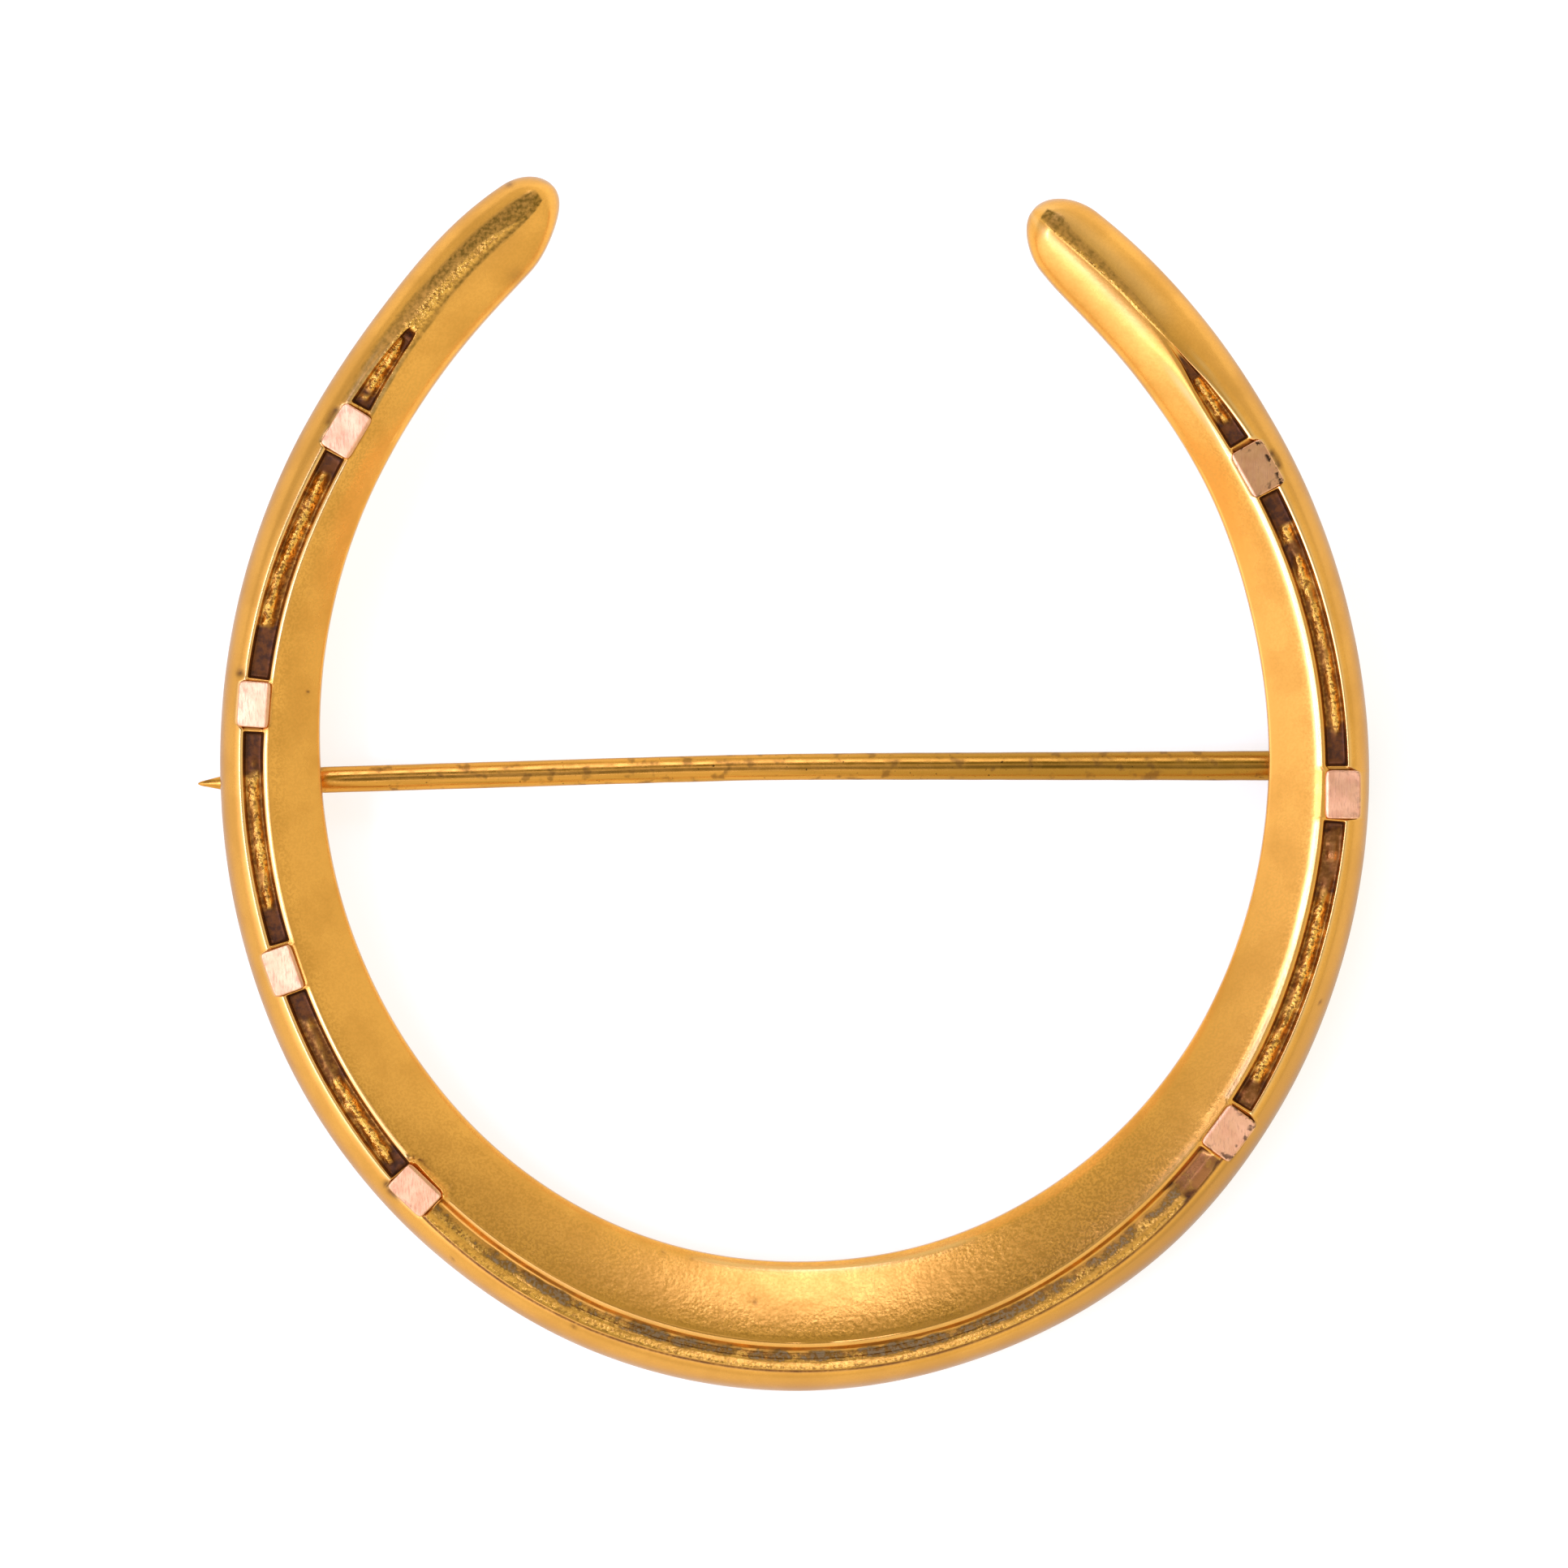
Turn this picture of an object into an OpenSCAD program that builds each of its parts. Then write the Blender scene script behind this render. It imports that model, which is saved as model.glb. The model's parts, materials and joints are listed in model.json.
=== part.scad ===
// Horseshoe brooch: a narrow gold horseshoe with a nail groove, seven inlaid nail heads,
// and on its back a hinged pin and a hook. It lies on its back, as on a table.
// Lengths are millimetres and angles are degrees.
// Every shape is drawn on the brooch's own plane: X across it, Y towards the tips,
// Z up out of its face, with the flat back at Z = 0. laid_down() then rests it on the table.

/* [Horseshoe] */
// Height of the rim beside the groove, above the flat back, at the bottom of the bow
bow_height = 2.3; // [1.8:0.1:3]
// The same height half way up the arms
arm_height = 2.15; // [1.8:0.1:3]
// The same height where the rounded tips begin
tip_height = 1.9; // [1.5:0.1:2.6]
// Height of the upright wall along the inner edge
inner_wall = 1.1; // [0.8:0.1:1.4]
// Height of the upright wall along the outer edge
outer_wall = 0.6; // [0.4:0.1:0.9]
// Length of the rounded end of each tip
tip_round = 1.25; // [0.8:0.05:1.6]

/* [Groove] */
// Width of the nail groove along the arms
groove_w_arm = 0.6; // [0.4:0.05:0.7]
// Width of the nail groove at the bottom of the bow
groove_w_bow = 0.75; // [0.5:0.05:0.8]
// Depth of the nail groove
groove_depth = 0.8; // [0.4:0.05:1]
// Angle from the bottom of the bow at which the groove starts on each arm
groove_end = 139; // [134:1:142]
// Width of the flat rim beside the groove
rim_w = 0.12; // [0.08:0.02:0.16]

/* [Nails] */
// Length of a nail head along the band
nail_l = 1.5; // [1.2:0.05:1.7]
// Width of a nail head across the band
nail_w = 1.05; // [0.9:0.05:1.15]
// Height of a nail head above the rim
nail_rise = 0.12; // [0.05:0.01:0.25]
// Depth of the pocket that a nail head sits in
pocket_depth = 0.7; // [0.4:0.05:0.9]
// Gap round a nail head in its pocket
nail_gap = 0.04; // [0.02:0.01:0.06]
// How far the nail heads stand outward of the groove's middle
nail_shift = 0.12; // [0:0.02:0.14]

/* [Pin] */
// Distance of the hinge axis from the middle of the horseshoe
hinge_x = 16.4; // [16:0.1:16.8]
// Height of the pin's line below the flat back
pin_drop = 1.15; // [1:0.05:1.4]
// Diameter of the pin beside the hinge
pin_d_root = 0.94; // [0.8:0.02:1]
// Diameter of the pin along its straight outer half
pin_d = 0.82; // [0.7:0.02:0.9]
// Diameter of the pin where its sharpened point starts
pin_d_point = 0.43; // [0.3:0.01:0.5]
// Distance of the pin's point from the middle of the horseshoe
pin_reach = 18.8; // [18.2:0.1:19.5]

/* [Hinge and hook] */
// Outer diameter of the hinge knuckles
knuckle_d = 1.7; // [1.5:0.1:1.8]
// Diameter of the hinge rivet
rivet_d = 0.7; // [0.5:0.05:0.8]
// Length of the pin's own knuckle
knuckle_l = 1; // [0.8:0.1:1.2]
// Length of each of the two soldered knuckles
side_knuckle_l = 0.85; // [0.6:0.05:1]
// Running gap between the rivet and the pin's knuckle, and between the knuckles
running_gap = 0.05; // [0.03:0.01:0.08]
// Thickness of the hook's strip
hook_t = 0.35; // [0.25:0.05:0.5]
// Width of the hook's strip along the pin
hook_w = 1.5; // [1:0.1:1.8]
// Distance of the hook's middle from the middle of the horseshoe
hook_x = 16.55; // [16.2:0.05:16.8]
// Inner radius of the hook's curl
hook_r = 0.6; // [0.5:0.05:0.8]

/* [Hidden] */

YELLOW_GOLD = "#dd9a3c";
ROSE_GOLD = "#e8b291";
PIN_GOLD = "#b98538";

// Stations along the line of the groove, from the left tip round the bow to the right tip.
// Columns: angle from the bottom of the bow, distance of the line from the middle,
// reach of the band outward and inward of the line, width of the strip along the inner edge.
ANGLE = 0;
LINE = 1;
OUTER = 2;
INNER = 3;
STRIP = 4;
STATIONS = [
    [-157.6, 19.75, 1.00, 1.20, 0.10],
    [-150, 19.30, 1.05, 1.70, 0.10],
    [-138, 18.40, 1.05, 1.70, 0.10],
    [-126, 17.60, 1.25, 1.55, 0.08],
    [-108, 17.20, 1.10, 1.85, 0.06],
    [-90, 17.00, 1.05, 2.10, 0.06],
    [-72, 17.05, 1.10, 2.25, 0.08],
    [-54, 17.40, 1.10, 2.50, 0.12],
    [-36, 17.85, 1.05, 2.70, 0.15],
    [-18, 18.15, 1.15, 2.80, 0.18],
    [0, 18.35, 1.10, 2.95, 0.20],
    [18, 18.30, 1.00, 2.90, 0.25],
    [36, 17.95, 1.10, 2.70, 0.30],
    [54, 17.45, 1.10, 2.40, 0.25],
    [72, 17.05, 1.10, 2.20, 0.12],
    [90, 16.95, 1.05, 2.10, 0.06],
    [108, 17.05, 1.05, 1.95, 0.06],
    [126, 17.35, 1.20, 1.60, 0.08],
    [138, 17.75, 1.35, 1.45, 0.10],
    [150, 18.50, 1.30, 1.40, 0.10],
    [157.1, 19.10, 1.15, 1.05, 0.10]
];
LAST = len(STATIONS) - 1;

// Angles of the nail heads from the bottom of the bow
NAILS_LEFT = [-127.1, -97, -68.7, -42.2];
NAILS_RIGHT = [123.3, 87.5, 50.1];
NAILS = concat(NAILS_LEFT, [50.1, 87.5, 123.3]);

// Smooth curve through one column of the stations
function end_safe(i) = min(max(i, 0), LAST);
function slope(i, col) =
    let(a = end_safe(i - 1), b = end_safe(i + 1))
    (STATIONS[b][col] - STATIONS[a][col]) / (STATIONS[b][ANGLE] - STATIONS[a][ANGLE]);
function row_at(angle, i = 0) =
    i >= LAST - 1 || angle < STATIONS[i + 1][ANGLE] ? i : row_at(angle, i + 1);
function column(angle, col) =
    let(i = row_at(angle),
        h = STATIONS[i + 1][ANGLE] - STATIONS[i][ANGLE],
        t = (angle - STATIONS[i][ANGLE]) / h)
    (2 * pow(t, 3) - 3 * pow(t, 2) + 1) * STATIONS[i][col]
    + (pow(t, 3) - 2 * pow(t, 2) + t) * h * slope(i, col)
    + (3 * pow(t, 2) - 2 * pow(t, 3)) * STATIONS[i + 1][col]
    + (pow(t, 3) - pow(t, 2)) * h * slope(i + 1, col);

function ease(x) = let(t = min(max(x, 0), 1)) t * t * (3 - 2 * t);
function mix(a, b, t) = a * (1 - t) + b * t;

// Point of the groove's line, its direction, and the direction outward from it
function on_line(angle) = column(angle, LINE) * [sin(angle), -cos(angle)];
function unit(v) = v / norm(v);
STEP = 0.05;
function along(angle) = unit(on_line(angle + STEP) - on_line(angle - STEP));
function outward(angle) = let(d = along(angle)) [d[1], -d[0]];

// How far a section is turned from the flat face of the arms into a rounded finger
ROUND_FROM = 124;
ROUND_TO = 146;
function roundness(angle) = ease((abs(angle) - ROUND_FROM) / (ROUND_TO - ROUND_FROM));

// Height of the rim, from the bow up the arms and on to the tips
function rim_height(angle) =
    let(up = ease(abs(angle) / 90), on = ease((abs(angle) - 110) / 45))
    mix(mix(bow_height, arm_height, up), tip_height, on);

// Half width of the flat rim's top, groove included, which closes up on the tips
function rim_half(angle) = (groove_w_arm / 2 + rim_w) * (1 - roundness(angle));

// Height of the band's upper surface at the offset u from the line, u positive outward
FACE_CURL = 0.3;
STRIP_SLOPE = 1.2;
function crown(angle, u) = u < 0 ? inner_crown(angle, -u) : outer_crown(angle, u);
function inner_crown(angle, u) =
    let(top = rim_height(angle), half = rim_half(angle), reach = column(angle, INNER),
        strip = column(angle, STRIP), k = roundness(angle),
        t = min(max((u - half) / (reach - half), 0), 1),
        t_strip = 1 - strip / (reach - half),
        strip_top = inner_wall + strip * STRIP_SLOPE,
        s = min(t / t_strip, 1),
        face = top - (top - strip_top) * ((1 - FACE_CURL) * s + FACE_CURL * s * s),
        flat = t < t_strip ? face : mix(strip_top, inner_wall, (t - t_strip) / (1 - t_strip)),
        round = inner_wall + (top - inner_wall) * sqrt(1 - t * t))
    mix(flat, round, k);
function outer_crown(angle, u) =
    let(top = rim_height(angle), half = rim_half(angle), reach = column(angle, OUTER),
        t = min(max((u - half) / (reach - half), 0), 1))
    outer_wall + (top - outer_wall) * sqrt(1 - t * t);

// Half width of the groove, which tapers to a point at its two ends
TAPER = 11;
function groove_half(angle) =
    mix(groove_w_bow, groove_w_arm, ease((abs(angle) - 20) / 40)) / 2
    * mix(0.25, 1, ease((groove_end - abs(angle)) / TAPER));
function groove_sink(angle) = groove_depth * ease((groove_end - abs(angle)) / (TAPER / 2));

// Kinds of section: plain, with the groove, a bridge beside a nail, and a nail's pocket
PLAIN = 0;
GROOVE = 1;
BRIDGE = 2;
POCKET = 3;
PLAIN_HALF = 0.1;
BRIDGE_SINK = 0.15;
POCKET_HALF = nail_w / 2 + nail_gap;
function cut_half(angle, kind) =
    kind == PLAIN ? PLAIN_HALF : kind == POCKET ? POCKET_HALF : groove_half(angle);
function cut_sink(angle, kind) =
    kind == PLAIN ? 0 : kind == GROOVE ? groove_sink(angle)
    : kind == BRIDGE ? BRIDGE_SINK : pocket_depth;
function cut_shift(kind) = kind == POCKET ? nail_shift : 0;

// One section of the band as [offset, height] pairs, from the inner edge of the back,
// over the face, the cut and the outer flank, to the outer edge of the back
FACE_TS = [0.8, 0.55, 0.3, 0.08];
FLANK_TS = [0.1, 0.4, 0.65, 0.85, 0.97];
CUT_DRAFT = 0.03;
function section(angle, kind) =
    let(inner = column(angle, INNER), outer = column(angle, OUTER),
        half = cut_half(angle, kind), shift = cut_shift(kind), sink = cut_sink(angle, kind),
        strip_u = inner - column(angle, STRIP),
        from_in = max(half - shift, rim_half(angle)),
        from_out = max(half + shift, rim_half(angle)),
        a = shift - half, b = shift + half,
        floor_z = sink > 0 ? rim_height(angle) - sink : 0,
        floor_us = [a + CUT_DRAFT, shift, b - CUT_DRAFT])
    concat(
        [[-inner, 0], [-inner, inner_wall], [-strip_u, crown(angle, -strip_u)]],
        [for (t = FACE_TS) let(u = mix(from_in, strip_u, t)) [-u, crown(angle, -u)]],
        [[a, crown(angle, a)]],
        [for (u = floor_us) [u, sink > 0 ? floor_z : crown(angle, u)]],
        [[b, crown(angle, b)]],
        [for (t = FLANK_TS) let(u = mix(from_out, outer, t)) [u, crown(angle, u)]],
        [[outer, outer_wall], [outer, 0]]
    );

// Width and height left of a section in the rounded end of a tip
function from_tip(angle) =
    min([for (tip = [STATIONS[0][ANGLE], STATIONS[LAST][ANGLE]])
        abs(angle - tip) * PI / 180 * column(angle, LINE)]);
function tip_scale(angle) =
    let(s = min(from_tip(angle) / tip_round, 1)) sqrt(1 - pow(1 - s, 2));
TIP_END_HEIGHT = 0.35;

// A section's points on the brooch's plane
function ring(angle, kind) =
    let(p = on_line(angle), n = outward(angle), k = tip_scale(angle))
    [for (q = section(angle, kind))
        [p[0] + n[0] * q[0] * k, p[1] + n[1] * q[0] * k, q[1] * mix(TIP_END_HEIGHT, 1, k)]];

// Sections in order: a fine run through each rounded end, a coarser one along the band,
// and the walls of the pocket and of the groove's ends at each nail
function degrees_of(length, angle) = length / column(angle, LINE) * 180 / PI;
WALL = 0.05;
BRIDGE_L = 0.22;
PITCH = 4.2;
function nail_cuts(angle) =
    let(pocket = nail_l / 2 + nail_gap, far = pocket + BRIDGE_L,
        side = [[far + WALL, GROOVE], [far, BRIDGE], [pocket + WALL, BRIDGE], [pocket, POCKET]])
    concat(
        [for (c = side) [angle - degrees_of(c[0], angle), c[1]]],
        [for (i = [3:-1:0]) [angle + degrees_of(side[i][0], angle), side[i][1]]]
    );
function run(a, b, kind, pitch = PITCH) =
    let(n = max(ceil((b - a) / pitch), 1)) [for (i = [1:1:n - 1]) [mix(a, b, i / n), kind]];
ROUNDING = [12, 28, 44, 60, 76];
function tip_run(tip, side) =
    [for (phi = ROUNDING) [tip + side * degrees_of(tip_round * (1 - cos(phi)), tip), PLAIN]];
function reversed(v) = [for (i = [len(v) - 1:-1:0]) v[i]];
LEFT_TIP = STATIONS[0][ANGLE];
RIGHT_TIP = STATIONS[LAST][ANGLE];
TIP_TURN = degrees_of(tip_round, LEFT_TIP);
CUTS = [for (n = NAILS) nail_cuts(n)];
SECTIONS = concat(
    tip_run(LEFT_TIP, 1),
    [[LEFT_TIP + TIP_TURN, PLAIN]],
    run(LEFT_TIP + TIP_TURN, -groove_end, PLAIN),
    [[-groove_end, PLAIN]],
    run(-groove_end, CUTS[0][0][0], GROOVE, TAPER / 6),
    [for (i = [0:1:len(CUTS) - 1]) each concat(CUTS[i],
        i < len(CUTS) - 1 ? run(CUTS[i][7][0], CUTS[i + 1][0][0], GROOVE) : [])],
    run(CUTS[len(CUTS) - 1][7][0], groove_end, GROOVE, TAPER / 6),
    [[groove_end, PLAIN]],
    run(groove_end, RIGHT_TIP - TIP_TURN, PLAIN),
    [[RIGHT_TIP - TIP_TURN, PLAIN]],
    reversed(tip_run(RIGHT_TIP, -1))
);
RINGS = [for (s = SECTIONS) ring(s[0], s[1])];
POINTS = [for (r = RINGS) each r];
SIDES = len(RINGS[0]);

// The pin's line: level from the hinge to its bend, then slightly down to its point
hinge_y = 0.17;
bend = [-0.9, 0.14];
point_y = -0.40;
pin_lean = (point_y - bend[1]) / (-pin_reach - bend[0]);
function pin_y(x) = bend[1] + (x - bend[0]) * pin_lean;

// Places along the pin's outer half: where its taper starts and where its point starts
TAPER_X = -14.8;
POINT_X = -18.05;
POINT_END_D = 0.15;
PIN_SINK = 0.25;
BEND_LAP = 0.3;
BEND_STEP = 0.04;

// The band's lowest point on the brooch's plane, and the plane's tilt on the table:
// it rests on that point of its back edge, on the hinge and on the hook
hinge_l = knuckle_l + 2 * side_knuckle_l + 2 * running_gap;
finding_drop = pin_drop + knuckle_d / 2;
low_y = min([for (p = POINTS) p[1]]);
tilt = atan(finding_drop / (hinge_y - hinge_l / 2 - low_y));

// The hook's curl ends just beside the pin, and its underside reaches the table
HOOK_CLEAR = 0.08;
hook_root_x = -hook_x + hook_w / 2;
hook_y = pin_y(hook_root_x) + pin_d / 2 + HOOK_CLEAR;
hook_z = -(hook_y - low_y) * tan(tilt) + hook_r + hook_t;

// The origin is on the table, below the middle of the brooch's bounding box
laid = [for (p = POINTS) p[1] * cos(tilt) - p[2] * sin(tilt)];
mid_x = (max([for (p = POINTS) p[0]]) - pin_reach) / 2;
mid_y = (min(laid) + max(laid)) / 2;
lift = -low_y * sin(tilt);

module laid_down() {
    translate([-mid_x, -mid_y, lift]) rotate([tilt, 0, 0]) children();
}

// The band as one surface through all its sections, closed by the two tip ends
module band() {
    rows = len(RINGS);
    faces = concat(
        [for (i = [0:1:rows - 2], j = [0:1:SIDES - 1])
            let(a = i * SIDES + j, b = i * SIDES + (j + 1) % SIDES)
            each [[a, a + SIDES, b + SIDES], [a, b + SIDES, b]]],
        [[for (j = [0:1:SIDES - 1]) j]],
        [[for (j = [SIDES - 1:-1:0]) (rows - 1) * SIDES + j]]
    );
    polyhedron(points = POINTS, faces = faces, convexity = 6);
}

// One soldered knuckle with its bore, on a neck and a foot plate under the band
SOLDER = 0.1;
foot_t = 0.22;
foot_w = 1.8;
neck_w = 1.1;
module side_knuckle(y) {
    translate([hinge_x, y, -pin_drop]) difference() {
        union() {
            rotate([90, 0, 0]) cylinder(h = side_knuckle_l, d = knuckle_d, center = true, $fn = 48);
            translate([-neck_w / 2, -side_knuckle_l / 2, 0])
                cube([neck_w, side_knuckle_l, pin_drop]);
        }
        rotate([90, 0, 0]) cylinder(h = side_knuckle_l + 1, d = rivet_d + 0.02, center = true, $fn = 48);
    }
}

module hinge_seat() {
    offset_y = (knuckle_l + side_knuckle_l) / 2 + running_gap;
    side_knuckle(hinge_y - offset_y);
    side_knuckle(hinge_y + offset_y);
    translate([hinge_x - foot_w / 2, hinge_y - hinge_l / 2, -foot_t])
        cube([foot_w, hinge_l, foot_t + SOLDER]);
}

// The hook: a strip that stands up from the back and curls a quarter turn under the pin
module hook() {
    outer_r = hook_r + hook_t;
    translate([-hook_x - hook_w / 2, 0, 0]) rotate([90, 0, 90]) linear_extrude(hook_w) {
        translate([hook_y + hook_r, hook_z]) square([hook_t, SOLDER - hook_z]);
        translate([hook_y, hook_z]) intersection() {
            difference() {
                circle(r = outer_r, $fn = 48);
                circle(r = hook_r, $fn = 48);
            }
            translate([0, -outer_r]) square(outer_r);
        }
    }
}

module horseshoe() {
    color(YELLOW_GOLD) laid_down() {
        band();
        hinge_seat();
        hook();
    }
}

// A nail head: a block with small bevels on its upright corners and round its top
BEVEL = 0.1;
NAIL_STAND = 0.03;
module bevelled(length, width, bevel) {
    polygon([
        [-length / 2 + bevel, -width / 2], [length / 2 - bevel, -width / 2],
        [length / 2, -width / 2 + bevel], [length / 2, width / 2 - bevel],
        [length / 2 - bevel, width / 2], [-length / 2 + bevel, width / 2],
        [-length / 2, width / 2 - bevel], [-length / 2, -width / 2 + bevel]
    ]);
}

module top_profile(length, height, bevel) {
    polygon([
        [-length / 2, 0], [length / 2, 0], [length / 2, height - bevel],
        [length / 2 - bevel, height], [-length / 2 + bevel, height], [-length / 2, height - bevel]
    ]);
}

module nail_head() {
    height = pocket_depth - NAIL_STAND + nail_rise;
    intersection() {
        linear_extrude(height) bevelled(nail_l, nail_w, BEVEL);
        rotate([90, 0, 0]) linear_extrude(nail_w, center = true) top_profile(nail_l, height, BEVEL);
        rotate([90, 0, 90]) linear_extrude(nail_l, center = true) top_profile(nail_w, height, BEVEL);
    }
}

module nail(angle) {
    d = along(angle);
    p = on_line(angle) + outward(angle) * nail_shift;
    floor_z = rim_height(angle) - pocket_depth + NAIL_STAND;
    color(ROSE_GOLD) laid_down()
        translate([p[0], p[1], floor_z]) rotate([0, 0, atan2(d[1], d[0])]) nail_head();
}

// A child drawn along +Z is laid along the pin's line, from one place on it towards another
module along_pin(from, to) {
    v = to - from;
    translate([from[0], from[1], -pin_drop]) rotate([0, 0, atan2(v[1], v[0])]) rotate([0, 90, 0])
        children();
}

// The pin: its knuckle, the half beside the hinge, and the straight half with its point
module pin_stem() {
    root = [hinge_x - knuckle_d / 2 + PIN_SINK, hinge_y];
    end = [-pin_reach, pin_y(-pin_reach)];
    to_taper = (bend[0] - TAPER_X) / cos(atan(pin_lean));
    to_point = (bend[0] - POINT_X) / cos(atan(pin_lean));
    to_end = (bend[0] + pin_reach) / cos(atan(pin_lean));
    color(PIN_GOLD) laid_down() {
        translate([hinge_x, hinge_y, -pin_drop]) rotate([90, 0, 0]) difference() {
            cylinder(h = knuckle_l, d = knuckle_d, center = true, $fn = 48);
            cylinder(h = knuckle_l + 1, d = rivet_d + 2 * running_gap, center = true, $fn = 48);
        }
        along_pin(root, bend)
            cylinder(h = norm(bend - root), d1 = pin_d_root, d2 = pin_d + BEND_STEP, $fn = 32);
        along_pin(bend, end) rotate_extrude($fn = 32) polygon([
            [0, -BEND_LAP], [pin_d / 2, -BEND_LAP], [pin_d / 2, to_taper],
            [pin_d_point / 2, to_point], [POINT_END_D / 2, to_end - POINT_END_D / 2],
            [POINT_END_D / 4, to_end], [0, to_end]
        ]);
    }
}

module hinge_rivet() {
    head = 0.1;
    color(PIN_GOLD) laid_down() translate([hinge_x, hinge_y, -pin_drop]) rotate([90, 0, 0])
        cylinder(h = hinge_l + 2 * head, d = rivet_d, center = true, $fn = 48);
}

horseshoe();
nail(NAILS_LEFT[0]);  // nail_left_1
nail(NAILS_LEFT[1]);  // nail_left_2
nail(NAILS_LEFT[2]);  // nail_left_3
nail(NAILS_LEFT[3]);  // nail_left_4
nail(NAILS_RIGHT[0]);  // nail_right_1
nail(NAILS_RIGHT[1]);  // nail_right_2
nail(NAILS_RIGHT[2]);  // nail_right_3
pin_stem();
hinge_rivet();
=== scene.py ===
"""Looks of the horseshoe brooch: gold band, nail heads, hinged pin and hook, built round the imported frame.

Shapes are worked out in millimetres on the brooch's own plane, with X across the brooch, Y towards its
tips, Z out of its face and the flat back at Z = 0. Rest.lay() then lays them on the table, in metres.
Offsets across the band are counted from the groove's line and are positive towards the outer edge.
"""

import json
import logging
import math
from collections.abc import Callable
from dataclasses import dataclass
from enum import Enum, IntEnum
from functools import partial

import bmesh
import bpy
import numpy as np
from mathutils import Matrix, Vector


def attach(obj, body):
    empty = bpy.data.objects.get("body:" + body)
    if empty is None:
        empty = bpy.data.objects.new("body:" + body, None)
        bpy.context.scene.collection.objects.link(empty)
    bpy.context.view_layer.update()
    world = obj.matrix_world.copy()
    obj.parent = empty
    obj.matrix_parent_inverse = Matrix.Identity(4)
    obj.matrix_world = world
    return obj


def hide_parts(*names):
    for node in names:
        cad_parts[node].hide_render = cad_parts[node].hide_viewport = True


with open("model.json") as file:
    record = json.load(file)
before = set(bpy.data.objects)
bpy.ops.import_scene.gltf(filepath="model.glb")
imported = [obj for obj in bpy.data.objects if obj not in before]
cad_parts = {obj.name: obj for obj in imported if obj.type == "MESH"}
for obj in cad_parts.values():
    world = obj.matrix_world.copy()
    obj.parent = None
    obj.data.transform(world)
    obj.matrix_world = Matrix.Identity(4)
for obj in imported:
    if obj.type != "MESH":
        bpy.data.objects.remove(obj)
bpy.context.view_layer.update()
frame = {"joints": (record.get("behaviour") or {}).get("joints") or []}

LOG = logging.getLogger("brooch")
MM = 0.001
Array = np.ndarray
Skin = tuple[Array, Array, Array]
Socket = bpy.types.NodeSocket
Worked = tuple[list[tuple[Socket, object]], Socket, dict[str, Socket]]


def ease(x: Array) -> Array:
    """Smooth step: 0 below 0, 1 above 1, and 3t² - 2t³ between."""
    t = np.clip(x, 0.0, 1.0)
    return t * t * (3 - 2 * t)


def mix(a: Array, b: Array, share: Array) -> Array:
    """Straight mix of a and b by share."""
    return a * (1 - share) + b * share


def hump(x: Array) -> Array:
    """Bell curve exp(-x²), 1 in its middle."""
    return np.exp(-x * x)


def coords(*parts: Array) -> Array:
    """Arrays or numbers side by side on a new last axis."""
    return np.stack(np.broadcast_arrays(*parts), -1)


def unit(v: Array) -> Array:
    """Vectors of length 1 along the last axis."""
    return v / np.maximum(np.linalg.norm(v, axis=-1, keepdims=True), 1e-12)


def lumps(points: Array, size: float, seed: int) -> Array:
    """Smooth random heights: a hashed value at each corner of a lattice, eased between the corners.

    Args:
        points: places in mm, with 2 or 3 coordinates on the last axis.
        size: spacing of the lattice in mm.
        seed: which set of random values.

    Returns:
        Heights from -1 to 1, one for each place.
    """
    cell = points / size
    low = np.floor(cell)
    share = ease(cell - low)
    low = low.astype(np.int64)
    primes = np.array([73856093, 19349663, 83492791])[: points.shape[-1]]
    total = np.zeros(points.shape[:-1])
    for ends in np.ndindex(*(2,) * points.shape[-1]):
        key = ((low + ends) * primes).sum(-1) + seed * 40503
        key = ((key ^ (key >> 13)) * 1274126177) & 0xFFFFFFFF
        value = ((key ^ (key >> 16)) & 0xFFFF) / 32767.5 - 1
        total += value * np.prod(np.where(ends, share, 1 - share), axis=-1)
    return total


def corner(before: Array, at: Array, after: Array, radius: Array, count: int) -> Array:
    """A rounded corner: the quadratic curve from `radius` before the corner to `radius` after it.

    Args:
        before, at, after: three points of each section, shaped (sections, 2).
        radius: how far from the corner the curve starts, at most 0.45 of each side.
        count: number of points on the curve.

    Returns:
        Points shaped (sections, count, 2).
    """
    back, on = before - at, after - at
    reach = np.minimum(np.linalg.norm(back, axis=-1), np.linalg.norm(on, axis=-1)) * 0.45
    reach = np.minimum(reach, radius)[:, None]
    start, end = at + unit(back) * reach, at + unit(on) * reach
    t = np.linspace(0, 1, count)[None, :, None]
    return (1 - t) ** 2 * start[:, None] + 2 * t * (1 - t) * at[:, None] + t**2 * end[:, None]


@dataclass(frozen=True)
class Rest:
    """How the brooch's own plane lies on the table: a tilt about X, and the place of the plane's middle."""

    turn: Array
    place: Array

    @classmethod
    def of_frame(cls, joint: dict, hinge: tuple[float, float, float]) -> "Rest":
        """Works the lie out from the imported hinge.

        Args:
            joint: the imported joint, whose axis runs along -Y of the plane.
            hinge: the hinge's middle on the plane, in mm.

        Returns:
            The lie that puts that point and axis where the joint is.
        """
        _, cos, sin = (-x for x in joint["axis"])
        turn = np.array([[1, 0, 0], [0, cos, -sin], [0, sin, cos]])
        return cls(turn, np.array(joint["pos_m"]) - turn @ (np.array(hinge) * MM))

    def lay(self, points: Array) -> Array:
        """Points of the plane in mm, laid on the table in metres."""
        return points * MM @ self.turn.T + self.place

    def aim(self, direction: Array) -> Array:
        """A direction of the plane, turned as the plane is."""
        return direction @ self.turn.T


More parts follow.
